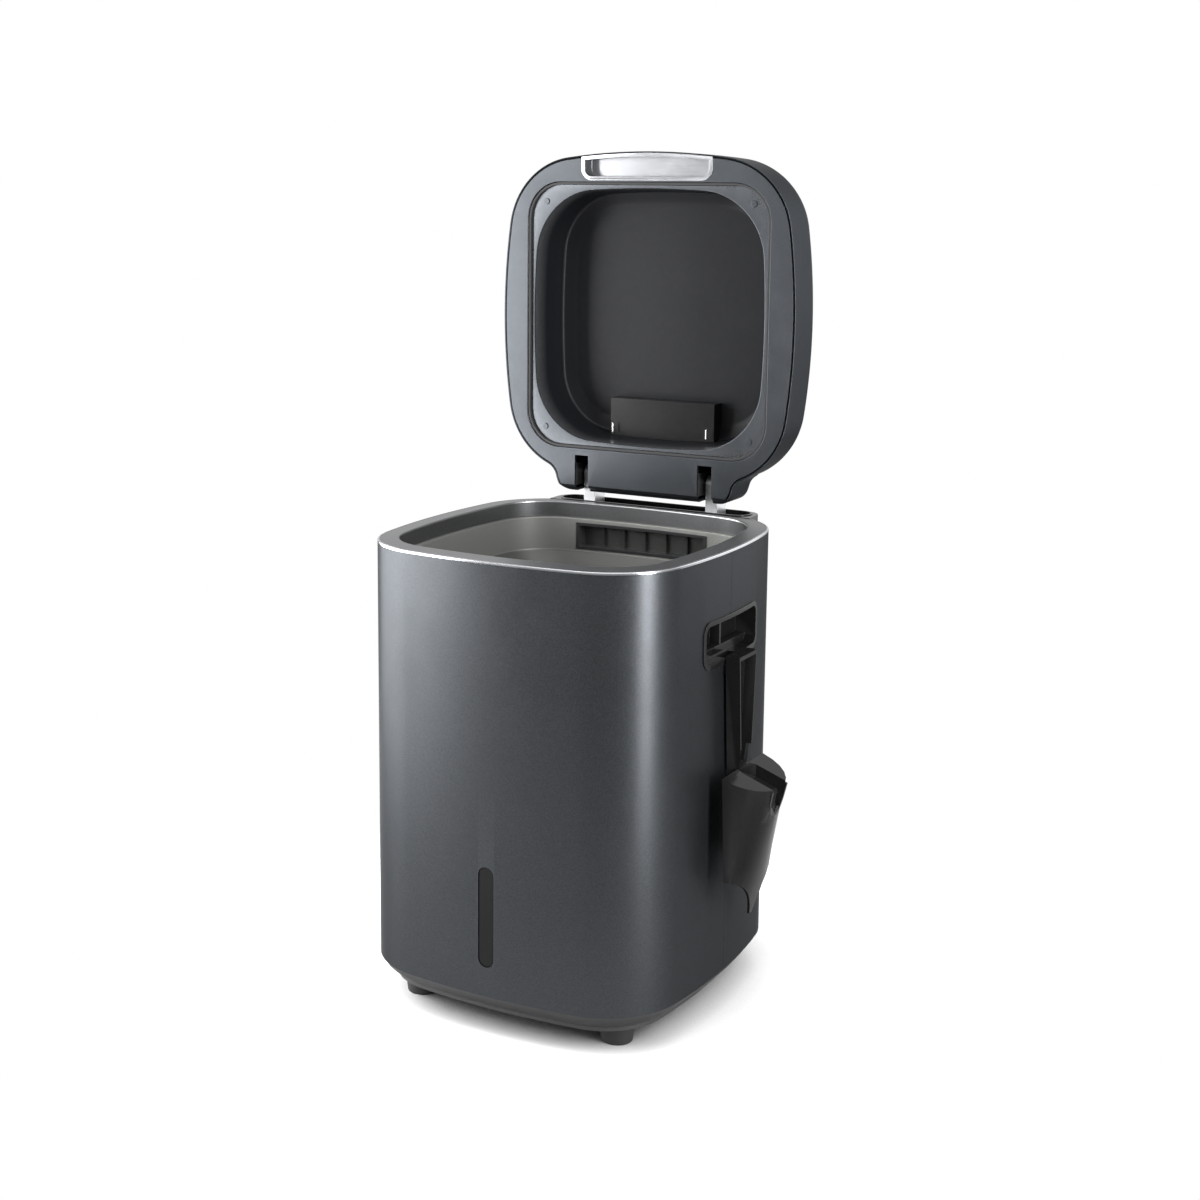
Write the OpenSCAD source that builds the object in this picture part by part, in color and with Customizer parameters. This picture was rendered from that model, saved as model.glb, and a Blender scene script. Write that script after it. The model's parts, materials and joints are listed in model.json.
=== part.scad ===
/* [Body] */
// Width of the body over its bowed sides
body_w = 300; // [280:1:330]
// Depth of the body over its bowed front and back
body_d = 306.7; // [290:0.1:330]
// Radius of the bow in each side
side_bow_r = 619; // [500:1:800]
// Radius of the upright corners
corner_r = 72.5; // [62:0.5:80]
// Height of the lower edge of the painted casings above the floor
casing_z = 36; // [34:1:40]
// Height of the painted casings
casing_h = 371; // [365:1:390]
// Wall of the painted casings
casing_t = 2.5; // [2:0.1:3]
// Gap at the seam between the front and the rear casing
seam_gap = 0.3; // [0.2:0.1:0.6]
// Height of the silver trim ring
trim_h = 4.5; // [3.5:0.5:6]
// Width of the silver trim ring
trim_w = 7; // [6:0.5:8]

/* [Base and feet] */
// Height of a rubber foot
foot_h = 17.5; // [15:0.5:19]
// Radius of a foot where it meets the floor
foot_r = 13.5; // [11:0.5:14.5]
// Distance of a foot from the middle, sideways
foot_x = 98; // [90:1:102]
// Distance of a foot from the middle, front to back
foot_y = 100; // [92:1:104]
// How far the underside of the base tray lies inside the casings
base_inset = 15.7; // [13:0.1:18]
// Thickness of the base tray
base_t = 2.5; // [2:0.1:3]

/* [Deck and tank] */
// Distance of the deck opening from the outside of the body
opening_inset = 19; // [18:0.5:20]
// Height of the upright wall round the deck opening
deck_wall_h = 15; // [13:0.5:17]
// Thickness of the deck
deck_t = 2.5; // [2:0.1:3]
// Distance of the upper tank wall from the outside of the body
tank_inset = 23.5; // [23.5:0.1:24.5]
// Distance of the lower tank wall from the outside of the body
trough_inset = 33.5; // [33:0.1:35]
// Wall of the tank
tank_t = 1.6; // [1.2:0.1:1.8]
// Height of the stirring shaft above the floor
shaft_z = 190; // [186:0.5:192]

/* [Exhaust grille] */
// Width of the grille opening in the tank
grille_w = 134; // [120:1:140]
// Height of the grille opening in the tank
grille_h = 23; // [18:0.5:25]
// Number of grille panes
grille_panes = 6; // [4:1:8]

/* [Stirring gear] */
// Radius of the stirring shaft
shaft_r = 8; // [7:0.5:9]
// Running clearance round each shaft
running_gap = 0.05; // [0.02:0.01:0.09]
// Number of stirring arms
arm_count = 6; // [4:1:8]
// Gap between an arm's blade and the tank
arm_gap = 5; // [4:0.5:10]
// Tooth module of the gears
gear_module = 2.5; // [2.4:0.1:2.5]
// Width of the gears
gear_w = 9; // [7:0.5:9.5]
// How far the motor lies in front of the stirring shaft
motor_y = 80; // [76:1:84]
// Radius of the motor can
motor_r = 20; // [16:0.5:22]

/* [Exhaust] */
// Radius of the blower wheel
fan_r = 34; // [28:0.5:36]
// Number of blower blades
fan_blades = 20; // [12:1:28]
// Height of the blower axis above the floor
fan_z = 240; // [238:1:250]
// Width of the filter drawer's front
drawer_w = 115; // [100:1:118]
// Height of the filter drawer's front
drawer_h = 96; // [80:1:98]
// Height of the filter drawer above the floor
drawer_z = 53; // [50:0.5:56]
// Gap round the drawer's front
drawer_gap = 0.8; // [0.5:0.1:1.2]
// Number of exhaust slots in the drawer's front
vent_slots = 7; // [4:1:8]
// Half width of the upright housing on the back
spine_hw = 105; // [103:1:108]
// How far the back housing stands out behind the body
spine_proud = 18.65; // [18.15:0.5:22.65]

/* [Front window] */
// Width of the indicator slot
slot_w = 15; // [12:0.5:18]
// Height of the indicator slot
slot_h = 88.5; // [70:0.5:100]
// Height of the slot's lower end above the floor
slot_z = 62; // [58:1:70]

/* [Carrying recess] */
// Length of a carrying recess
recess_w = 108; // [95:1:112]
// Height of a carrying recess
recess_h = 37; // [33:0.5:38]
// Depth of a carrying recess
recess_d = 23; // [18:0.5:23.5]
// How far the recess lies behind the body's middle
recess_y = 5.5; // [4:0.5:8]
// Distance of the recess's lower edge below the top of the casings
recess_drop = 90; // [89:0.5:91]

/* [Scoop] */
// Half width of the scoop's trough
scoop_hw = 43; // [36:0.5:46]
// Depth of the scoop's trough at its upper end
scoop_d = 38; // [32:0.5:42]
// Length of the scoop's trough
scoop_len = 130; // [115:1:135]
// Wall of the scoop
scoop_t = 2.2; // [1.8:0.1:2.6]
// Width of the scoop's handle at the top
scoop_handle_w = 37; // [34:0.5:40]
// Width of the scoop's handle at the trough
scoop_neck_w = 21; // [19:0.5:24]
// Thickness of the scoop's handle
scoop_handle_t = 13; // [10:0.5:14]
// Gap between the scoop and the casing
scoop_gap = 2.5; // [2:0.1:4]

/* [Lid] */
// How far the hinge axis lies inside the back of the body
hinge_in = 1.35; // [0.35:0.5:2.35]
// Height of the hinge axis above the lid's rim when the lid is shut
hinge_rise = 25; // [24:0.5:27]
// Gap between the shut lid and the deck
lid_gap = 1.2; // [1:0.1:2]
// Angle between the shut lid and the open one
lid_open_angle = 90; // [80:1:92]
// Height of the lid's dome
lid_h = 67; // [66:1:75]
// Wall of the lid
lid_t = 2.5; // [2:0.1:3]
// Half width of the lid's hinge tongue
tongue_hw = 91.5; // [89:0.5:93]
// How far the hinge tongue reaches behind the hinge axis
tongue_reach = 15; // [14:0.5:15.5]
// Width of a hinge arm
arm_w = 12; // [10:0.5:12.5]
// Distance of a hinge arm from the middle
arm_x = 64.2; // [63:0.1:66]
// Radius of the hinge pins
hinge_pin_r = 4; // [3:0.5:4.5]
// Length of the silver lid grip
grip_w = 130; // [110:1:140]
// Depth of the silver lid grip
grip_d = 15; // [12:0.5:18]

/* [Hidden] */
$fn = 48;

// Small cut allowance that carries a cutter through a face
eps = 0.5;
// Gap between still parts that meet without touching
fit_gap = 0.3;
// Gap where a curved piece is laid against the tank
seat_gap = 0.15;
// Gap round a pin or bush that is pressed into its seat
press_gap = 0.02;
half_w = body_w / 2;
half_d = body_d / 2;
spine_y = half_d + spine_proud;
hinge_y = half_d - hinge_in;
casing_top = casing_z + casing_h;
recess_z = casing_top - recess_drop;
trim_top = casing_top + trim_h;
deck_top = trim_top + 0.9;
tank_top = deck_top - deck_wall_h;
base_floor = foot_h + base_t;
big = 600;

// Points of a rounded plan whose four sides bow outwards with radius side_r
function bowed(hw, hd, side_r, r, sides = 4, corners = 8) =
    let(a = [hw - side_r, 0], b = [0, hd - side_r], rho = side_r - r, mid = (a + b) / 2, ab = b - a,
        d = norm(ab), c = mid + [-ab[1], ab[0]] / d * sqrt(rho * rho - d * d / 4),
        a1 = atan2(c[1] - a[1], c[0] - a[0]), a2 = atan2(c[1] - b[1], c[0] - b[0]),
        side = [for (i = [0:sides - 1]) let(t = a1 * i / sides) a + side_r * polar(t)],
        corner = [for (i = [0:corners]) let(t = a1 + (a2 - a1) * i / corners) c + r * polar(t)],
        front = [for (i = [1:sides]) let(t = a2 + (90 - a2) * i / sides) b + side_r * polar(t)])
    mirrored(concat(side, corner, front));

function polar(t) = [cos(t), sin(t)];

// Points of a plain rounded rectangle
function rounded(hw, hh, r, corners = 6) =
    mirrored([for (i = [0:corners]) let(t = 90 * i / corners) [hw - r + r * cos(t), hh - r + r * sin(t)]]);

// Closed outline from the points of its first quarter
function mirrored(q) =
    let(n = len(q), first = q[0][1] == 0 ? 1 : 0, last = abs(q[n - 1][0]) < 0.001 ? 2 : 1)
    concat(q,
           [for (i = [n - last:-1:0]) [-q[i][0], q[i][1]]],
           [for (i = [first:n - 1]) [-q[i][0], -q[i][1]]],
           [for (i = [n - last:-1:first]) [q[i][0], -q[i][1]]]);

// Body plan moved inwards by inset
function plan(inset) = bowed(half_w - inset, half_d - inset, side_bow_r - inset, corner_r - inset);

// An outline at height z
function at_z(points, z) = [for (p = points) [p[0], p[1], z]];

// Face between points i and i + 1 of rings j and k, each of n points
function ring_face(i, n, j, k) = [j * n + i, k * n + i, k * n + (i + 1) % n, j * n + (i + 1) % n];

// Solid through a stack of outlines with equal numbers of points, closed at both ends
module loft(rings) {
    n = len(rings[0]);
    m = len(rings);
    low_end = [for (i = [0:n - 1]) i];
    high_end = [for (i = [n - 1:-1:0]) (m - 1) * n + i];
    wall = [for (j = [0:m - 2]) for (i = [0:n - 1]) ring_face(i, n, j, j + 1)];
    points = [for (r = rings) for (p = r) p];
    polyhedron(points = points, faces = concat([low_end, high_end], wall), convexity = 6);
}

// Ring whose section is the closed path of [inset, z] points of the body plan
module plan_ring(path) {
    rings = [for (p = path) at_z(plan(p[0]), p[1])];
    n = len(rings[0]);
    m = len(rings);
    wall = [for (j = [0:m - 1]) for (i = [0:n - 1]) ring_face(i, n, j, (j + 1) % m)];
    polyhedron(points = [for (r = rings) for (p = r) p], faces = wall, convexity = 6);
}

// Flat outline drawn in Y and Z, from x0 to x1
module along_x(x0, x1) {
    translate([x0, 0, 0]) rotate([90, 0, 90]) linear_extrude(x1 - x0, convexity = 6) children();
}

// Flat outline drawn in X and Z, from y0 to y1
module along_y(y0, y1) {
    translate([0, y1, 0]) rotate([90, 0, 0]) linear_extrude(y1 - y0, convexity = 6) children();
}

// Upright solid on a flat outline from z0 to z1
module between(z0, z1) {
    translate([0, 0, z0]) linear_extrude(z1 - z0, convexity = 6) children();
}

// Box between two corners
module box(low, high) {
    translate(low) cube(high - low);
}

// Round bar along X
module bar_x(x0, x1, r, y, z) {
    translate([x0, y, z]) rotate([0, 90, 0]) cylinder(h = x1 - x0, r = r);
}

// Round bar along Y
module bar_y(y0, y1, r, x, z) {
    translate([x, y0, z]) rotate([-90, 0, 0]) cylinder(h = y1 - y0, r = r);
}

// Plan of the upright housing on the back, moved inwards by inset
spine_depth = 70;
spine_r = 16;
module spine_plan(inset) {
    translate([0, half_d - spine_depth])
        polygon(rounded(spine_hw - inset, spine_depth + spine_y - half_d - inset, spine_r - inset));
}

// Base: tray, feet and their screws
// Steps of the tray's sloping skirt: share of the inset, and height above the feet
skirt = [[1, 3.5], [0.55, 8.5], [0.25, 13]];
skirt_top_inset = 0.8;
function skirt_ring(i, in, up) = at_z(plan(base_inset * skirt[i][0] + in), foot_h + skirt[i][1] + up);
function skirt_rings(in, up) = [for (i = [0:len(skirt) - 1]) skirt_ring(i, in, up)];
module base_tray() {
    color("#2f3133") difference() {
        loft(concat([at_z(plan(base_inset), foot_h)], skirt_rings(0, 0),
                    [at_z(plan(skirt_top_inset), casing_z)]));
        loft(concat([at_z(plan(base_inset + base_t), base_floor)], skirt_rings(base_t, base_t - 0.8),
                    [at_z(plan(skirt_top_inset + base_t), casing_z + eps)]));
        foot_places() base_hole(foot_screw_r + fit_gap);
        post_places() base_hole(post_head_r + fit_gap);
    }
    color("#2f3133") post_places() difference() {
        translate([0, 0, foot_h]) cylinder(h = casing_z - foot_h, r = screw_post_r);
        translate([0, 0, foot_h - eps]) cylinder(h = casing_z, r = post_screw_r + fit_gap);
        translate([0, 0, foot_h - eps]) cylinder(h = post_head_z - foot_h + eps, r = post_head_r + fit_gap);
    }
}

module base_hole(r) {
    translate([0, 0, foot_h - eps]) cylinder(h = base_t + 2 * eps, r = r);
}

module post_places() {
    for (sx = [-1, 1], sy = [-1, 1]) translate([sx * screw_post_x, sy * screw_post_y, 0]) children();
}
post_head_r = 3.2;
post_head_z = foot_h + 9;

foot_screw_r = 2;
screw_head_t = 2;
nut_t = 2;
module foot_places() {
    for (sx = [-1, 1], sy = [-1, 1]) translate([sx * foot_x, sy * foot_y, 0]) children();
}

foot_top_r = foot_r + 2;
foot_screw_head = 4;
// Height of the screw head's seat inside the foot
foot_seat = 5;
module rubber_feet() {
    color("#222325") foot_places() difference() {
        cylinder(h = foot_h, r1 = foot_r, r2 = foot_top_r);
        translate([0, 0, -eps]) cylinder(h = foot_h + 2 * eps, r = foot_screw_r);
        translate([0, 0, -eps]) cylinder(h = foot_seat + eps, r = foot_screw_head);
    }
}

module foot_screws() {
    color("silver") foot_places() {
        translate([0, 0, foot_seat - screw_head_t]) cylinder(h = screw_head_t, r = foot_screw_head - 0.2);
        translate([0, 0, foot_seat - 1]) cylinder(h = base_floor + 4 - foot_seat, r = foot_screw_r);
        translate([0, 0, base_floor]) cylinder(h = nut_t, r = foot_screw_r * 1.9, $fn = 6);
    }
}

// Casings
slot_r = slot_w / 2;
slot_top = slot_z + slot_h;
module slot_outline(grow) {
    translate([0, slot_z + slot_r]) circle(slot_r + grow);
    translate([0, slot_top - slot_r]) circle(slot_r + grow);
    translate([-slot_r - grow, slot_z + slot_r]) square([slot_w + 2 * grow, slot_h - slot_w]);
}

recess_r = 9;
lobe_hw = 14;
lobe_drop = 17;
module recess_outline(grow) {
    translate([recess_y, recess_z + recess_h / 2])
        polygon(rounded(recess_w / 2 + grow, recess_h / 2 + grow, recess_r + grow));
}

// Round-ended lobe under the right recess that takes the scoop's hook
module lobe_outline(grow) {
    translate([scoop_y, recess_z - lobe_drop + lobe_hw]) {
        translate([-lobe_hw - grow, 0]) square([2 * (lobe_hw + grow), lobe_drop - lobe_hw + 4]);
        circle(lobe_hw + grow);
    }
}

module recess_cut(side, grow) {
    mirror([side < 0 ? 1 : 0, 0, 0]) {
        along_x(half_w - recess_d - grow, half_w + 10) recess_outline(grow);
        if (side > 0) along_x(half_w - lobe_depth - grow, half_w + 10) lobe_outline(grow);
    }
}
lobe_depth = 12;

screw_post_in = 29;
screw_post_x = half_w - screw_post_in;
screw_post_y = 42;
screw_post_r = 5;
post_screw_r = 1.8;
post_h = 30;
web_t = 3;
// How far a bowed side lies inside its widest place, at distance d from the middle
function bow_at(d) = side_bow_r - sqrt(pow(side_bow_r, 2) - pow(d, 2));
// Distance of an upright corner's wall behind the middle at x, moved inwards by inset
function corner_y(x, inset) = plan_c[1] + sqrt(max(0, pow(corner_r - inset, 2) - pow(x - plan_c[0], 2)));
module screw_posts() {
    web = half_w - bow_at(screw_post_y) - casing_t / 2 - screw_post_x;
    for (sx = [-1, 1]) translate([sx * screw_post_x, 0, 0]) difference() {
        union() {
            translate([0, 0, casing_z]) cylinder(h = post_h, r = screw_post_r);
            box([min(0, sx * web), -web_t / 2, casing_z], [max(0, sx * web), web_t / 2, casing_z + post_h]);
        }
        translate([0, 0, casing_z - eps]) cylinder(h = post_h / 2 + eps, r = post_screw_r);
    }
}

module front_casing() {
    color("#75787b") {
        difference() {
            between(casing_z, casing_top) difference() {
                polygon(plan(0));
                polygon(plan(casing_t));
                translate([-big / 2, -seam_gap / 2]) square(big);
            }
            along_y(-half_d - 5, -half_d + 20) slot_outline(0);
            for (side = [-1, 1]) recess_cut(side, fit_gap);
        }
        translate([0, -screw_post_y, 0]) screw_posts();
    }
}

inlet_x = 82;
inlet_z = 74;
inlet_w = 27;
inlet_h = 20;
rocker_z = 112;
rocker_w = 13;
rocker_h = 19;
// Window in the rear casing's back wall that the sleeve, blower and duct pass through
back_window_hw = 72;
back_window_z = 50;
module rear_casing() {
    color("#75787b") {
        difference() {
            between(casing_z, casing_top) difference() {
                polygon(plan(0));
                polygon(plan(casing_t));
                translate([-big / 2, seam_gap / 2 - big]) square(big);
            }
            for (side = [-1, 1]) recess_cut(side, fit_gap);
            box([-back_window_hw, tray_front - 20, back_window_z], [back_window_hw, spine_y, big]);
            box([-tray_hx - 1, tray_front - 20, tray_floor - boss_h], [tray_hx + 1, spine_y, big]);
            housing_screw_places() bar_y(tray_front - 20, spine_y, post_screw_r + fit_gap, 0, 0);
        }
        translate([0, screw_post_y, 0]) screw_posts();
    }
}

// Places of the screws that hold the back housing to the rear casing
housing_screw_x = 92;
housing_screw_z0 = 180;
housing_screw_z1 = 340;
module housing_screw_places() {
    for (s = [-1, 1], z = [housing_screw_z0, housing_screw_z1])
        translate([s * housing_screw_x, 0, z]) children();
}

// Upright housing on the back, with holes for the drawer, the inlet and the switch
module back_housing() {
    holes_front = spine_y - 10;
    holes_back = spine_y + 10;
    boss_front = corner_y(housing_screw_x - boss_r, 0) + fit_gap;
    color("#75787b") difference() {
        union() {
            between(casing_z, casing_top) difference() {
                spine_plan(0);
                spine_plan(casing_t);
                polygon(plan(0));
            }
            between(casing_z, casing_z + base_t) difference() {
                spine_plan(casing_t / 2);
                polygon(plan(0));
            }
            housing_screw_places() bar_y(boss_front, spine_y - casing_t / 2, boss_r, 0, 0);
        }
        along_y(holes_front, holes_back) {
            translate([0, drawer_z + drawer_h / 2])
                polygon(rounded(drawer_w / 2 + drawer_gap, drawer_h / 2 + drawer_gap, panel_r + drawer_gap));
            translate([inlet_x, inlet_z]) square([inlet_w, inlet_h], center = true);
            translate([inlet_x, rocker_z]) square([rocker_w + 2, rocker_h + 2], center = true);
        }
        housing_screw_places() bar_y(boss_front - 1, boss_front + housing_screw_in, post_screw_r, 0, 0);
    }
}
housing_screw_in = 12;

module casing_screws() {
    head_y = corner_y(housing_screw_x + post_head_r, casing_t) - fit_gap;
    color("silver") {
        post_places() {
            translate([0, 0, post_head_z - screw_head_t - 1]) cylinder(h = screw_head_t + 1, r = post_head_r);
            translate([0, 0, post_head_z - 1])
                cylinder(h = casing_z + post_h / 2 - post_head_z, r = post_screw_r);
        }
        housing_screw_places() {
            bar_y(head_y - screw_head_t, head_y, post_head_r, 0, 0);
            bar_y(head_y - 1, head_y + housing_screw_in, post_screw_r, 0, 0);
        }
    }
}

// Trim ring and deck, both open at the hinge tray
// How far the tray reaches in front of the hinge axis
tray_fore = 12.8;
tray_front = hinge_y - tray_fore;
module tray_notch() {
    box([-spine_hw - fit_gap, tray_front - fit_gap, casing_top - 20],
        [spine_hw + fit_gap, spine_y + 20, deck_top + 20]);
}

module trim_ring() {
    color("#e4e6e8") difference() {
        plan_ring([[0, casing_top], [0, trim_top - 1.5], [0.5, trim_top - 0.4], [1.5, trim_top],
                   [trim_w, trim_top], [trim_w, casing_top]]);
        tray_notch();
    }
}

deck_rim = trim_w + 0.2;
module top_deck() {
    wall_in = opening_inset;
    color("#b9bcbf") difference() {
        plan_ring([[deck_rim, trim_top - deck_t - 0.7], [deck_rim, trim_top - 0.4], [wall_in - 1.2, deck_top],
                   [wall_in - 0.3, deck_top - 0.3], [wall_in, deck_top - 1.2], [wall_in, tank_top],
                   [wall_in - deck_t, tank_top], [wall_in - deck_t, deck_top - deck_t - 0.9]]);
        tray_notch();
    }
}

// Indicator window and its board
window_back = -half_d + casing_t + 0.4;
window_t = 1.6;
window_sunk = 0.7;
module indicator_window() {
    color("#17191b") {
        along_y(-half_d + window_sunk, window_back + window_t) slot_outline(-0.35);
        along_y(window_back, window_back + window_t) slot_outline(3);
    }
}

led_count = 6;
led_h = 2.5;
led_r = 2;
board_t = 1.6;
board_gap = 5;
module indicator_board() {
    board_front = window_back + window_t + board_gap;
    mid = slot_z + slot_h / 2;
    pitch = (slot_h - slot_w) / (led_count - 1);
    color("#1f6b3a") {
        along_y(board_front, board_front + board_t) translate([0, mid])
            square([slot_w + 7, slot_h + 4], center = true);
        for (s = [-1, 1]) bar_y(window_back + window_t, board_front, 2, 0, mid + s * (slot_h / 2 - 0.5));
    }
    color("white") for (i = [0:led_count - 1])
        bar_y(board_front - led_h, board_front, led_r, 0, slot_z + slot_r + i * pitch);
}

// Carrying recesses on both sides
recess_t = 1.8;
lip_w = 2.2;
lip_proud = 1.2;
ledge_h = 9;
module carry_recess_right() {
    color("#1d1e20") recess_tub(1);
}

module carry_recess_left() {
    color("#1d1e20") mirror([1, 0, 0]) recess_tub(-1);
}

// Glossy tub with a lip that lies on the casing, a ledge inside and an upright rib
module recess_tub(side) {
    intersection() {
        union() {
            difference() {
                union() {
                    along_x(half_w - recess_d, half_w + 10) recess_outline(0);
                    if (side > 0) along_x(half_w - lobe_depth, half_w + 10) lobe_outline(0);
                    difference() {
                        along_x(half_w - 12, half_w + 10) {
                            recess_outline(lip_w);
                            if (side > 0) lobe_outline(lip_w);
                        }
                        between(casing_z, casing_top) polygon(plan(0));
                    }
                }
                along_x(half_w - recess_d + recess_t, half_w + 11) recess_outline(-recess_t);
                if (side > 0) along_x(half_w - lobe_depth + recess_t, half_w + 11) lobe_outline(-recess_t);
            }
            // ledge along the lower part
            intersection() {
                along_x(half_w - recess_d, half_w - lobe_depth) recess_outline(0);
                box([0, recess_y - recess_w / 2, recess_z],
                    [half_w, recess_y + recess_w / 2, recess_z + ledge_h]);
            }
            // slanted seat that the scoop's hook leans on
            if (side > 0) intersection() {
                along_x(half_w - lobe_depth, half_w + 10) lobe_outline(0);
                hook_seat();
            }
            // upright rib behind the ledge
            box([half_w - recess_d, recess_y - rib_t / 2, recess_z + 1],
                [half_w - lobe_depth, recess_y + rib_t / 2, recess_z + recess_h - 1]);
        }
        between(casing_z, casing_top) polygon(plan(-lip_proud));
    }
}
rib_t = 3;

// Wedge below the slanted hook, in X and Z
module hook_seat() {
    foot = recess_z - lobe_drop;
    run = tan(hook_angle);
    under = scoop_x + hook_in + hook_t / 2 / cos(hook_angle) + fit_gap - run * (handle_top - hook_drop - foot);
    lip = half_w + lip_proud;
    bevelled = lip - 0.6;
    along_y(scoop_y - lobe_hw, scoop_y + lobe_hw)
        polygon([[under, foot], [lip, foot], [lip, foot + (lip - under) / run - 1],
                 [bevelled, foot + (bevelled - under) / run]]);
}

// Tank: upper part follows the body plan, lower part is a round-bottomed trough
upper_tank_h = 33;
shoulder_top = tank_top - upper_tank_h;
shoulder_h = 14;
trough_r = half_d - trough_inset;
module tank_solid(grow, top) {
    loft([at_z(plan(trough_inset - grow), shoulder_top - shoulder_h - grow),
          at_z(plan(tank_inset - grow), shoulder_top - grow),
          at_z(plan(tank_inset - grow), top)]);
    intersection() {
        between(shaft_z - trough_r - 10, shoulder_top - shoulder_h + 1) polygon(plan(trough_inset - grow));
        union() {
            bar_x(-half_w, half_w, trough_r + grow, 0, shaft_z);
            box([-half_w, -trough_r - grow - 5, shaft_z], [half_w, trough_r + grow + 5, shoulder_top]);
        }
    }
}

tank_x = half_w - trough_inset;
bush_r = 12;
grille_rise = 5;
grille_mid = shoulder_top + grille_rise + grille_h / 2;
lip_in = opening_inset - deck_t - 1.5;
// The collar lies on the trough's flange at this height
collar_z = shoulder_top - shoulder_h;
flange_t = 2;
flange_inset = trough_inset - 5;
module tank_collar() {
    color("#8b8d87") difference() {
        union() {
            intersection() {
                tank_solid(tank_t, tank_top);
                between(collar_z, big) polygon(plan(0));
            }
            between(collar_z, collar_z + flange_t) polygon(plan(flange_inset));
            between(tank_top - 2, tank_top) difference() {
                polygon(plan(lip_in));
                translate([-spine_hw - 1, tray_front - 1]) square([2 * spine_hw + 2, 40]);
            }
        }
        tank_solid(0, tank_top + eps);
        box([-grille_w / 2, half_d - tank_inset - 10, grille_mid - grille_h / 2],
            [grille_w / 2, half_d - tank_inset + 10, grille_mid + grille_h / 2]);
    }
}

module tank() {
    color("#8b8d87") difference() {
        union() {
            intersection() {
                tank_solid(tank_t, tank_top);
                between(0, collar_z) polygon(plan(0));
            }
            between(collar_z - flange_t, collar_z) polygon(plan(flange_inset));
        }
        tank_solid(0, tank_top + eps);
        bar_x(-half_w, half_w, bush_r, 0, shaft_z);
    }
}

cradle_x = 78;
cradle_t = 4;
cradle_hy = 66;
cradle_h = 40;
seat_r = trough_r + tank_t + seat_gap;
module tank_cradle() {
    color("#a9adb0") for (s = [-1, 1]) {
        x0 = s * cradle_x - cradle_t / 2;
        x1 = x0 + cradle_t;
        difference() {
            box([x0, -cradle_hy, base_floor], [x1, cradle_hy, shaft_z - trough_r + cradle_h]);
            bar_x(x0 - 1, x1 + 1, seat_r, 0, shaft_z);
            bar_x(x0 - 1, x1 + 1, 8, 45, base_floor + 14);
            bar_x(x0 - 1, x1 + 1, motor_r + 6, pinion_y, pinion_z);
        }
    }
}

mat_t = 1.5;
mat_hx = 70;
mat_hy = 75;
module heater_mat() {
    color("#c8682a") intersection() {
        difference() {
            bar_x(-mat_hx, mat_hx, seat_r + mat_t, 0, shaft_z);
            bar_x(-mat_hx - 1, mat_hx + 1, seat_r, 0, shaft_z);
        }
        box([-mat_hx, -mat_hy, shaft_z - seat_r - 2 * mat_t], [mat_hx, mat_hy, shaft_z]);
    }
}

// Round bar on the shaft's axis, between x0 and x1 on side s of the tank
module shaft_bar(s, x0, x1, r) {
    bar_x(min(s * x0, s * x1), max(s * x0, s * x1), r, 0, shaft_z);
}

// Bushes that carry the stirring shaft in the tank's side walls
bush_out = 5;
bush_in = 4;
module shaft_bushes() {
    color("#d9cfa8") for (s = [-1, 1]) difference() {
        union() {
            shaft_bar(s, tank_x - bush_in, tank_x + tank_t + bush_out, bush_r - press_gap);
            shaft_bar(s, tank_x - bush_in, tank_x - 0.5, bush_r + 5);
        }
        bar_x(-half_w, half_w, shaft_r + running_gap, 0, shaft_z);
    }
}

// Exhaust grille, duct and blower
frame_y = half_d - tank_inset;
frame_d = 9;
frame_t = 1.5;
frame_fit = 0.2;
// The frame's lip lies on the bowed tank wall, as thick as these insets are apart
lip_back = 0.1;
lip_front = 0.9;
mesh_t = 1;
// Plain opening drawn in X and Z about the grille's middle
module grille_rect(hw, hh) {
    translate([0, grille_mid]) square([2 * hw, 2 * hh], center = true);
}

module exhaust_frame() {
    hw = grille_w / 2 - frame_fit;
    hh = grille_h / 2 - frame_fit;
    pitch = (2 * hw - frame_t) / grille_panes;
    front = frame_y - 12;
    back = frame_y + frame_d;
    color("#26282a") {
        difference() {
            union() {
                along_y(front, back) grille_rect(hw, hh);
                intersection() {
                    along_y(front, frame_y + 2) grille_rect(hw + frame_t, hh + frame_t);
                    between(shoulder_top, tank_top) polygon(plan(tank_inset + lip_back));
                }
            }
            along_y(front - 1, back + 1) grille_rect(hw - frame_t, hh - frame_t);
            between(shoulder_top, tank_top) polygon(plan(tank_inset + lip_front));
        }
        for (i = [1:grille_panes - 1]) translate([-hw + i * pitch, 0, grille_mid])
            box([0, back - 3, -hh + eps], [frame_t, back, hh - eps]);
    }
}

module exhaust_mesh() {
    color("#84857f") along_y(frame_y + frame_d, frame_y + frame_d + mesh_t)
        grille_rect(grille_w / 2 - eps, grille_h / 2 - eps);
}

duct_t = 1.5;
duct_front = frame_y + frame_d + mesh_t;
duct_back = spine_y - casing_t - 1.5;
duct_drop = 30;
duct_bottom = shoulder_top - duct_drop;
channel_hw = 26;
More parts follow.
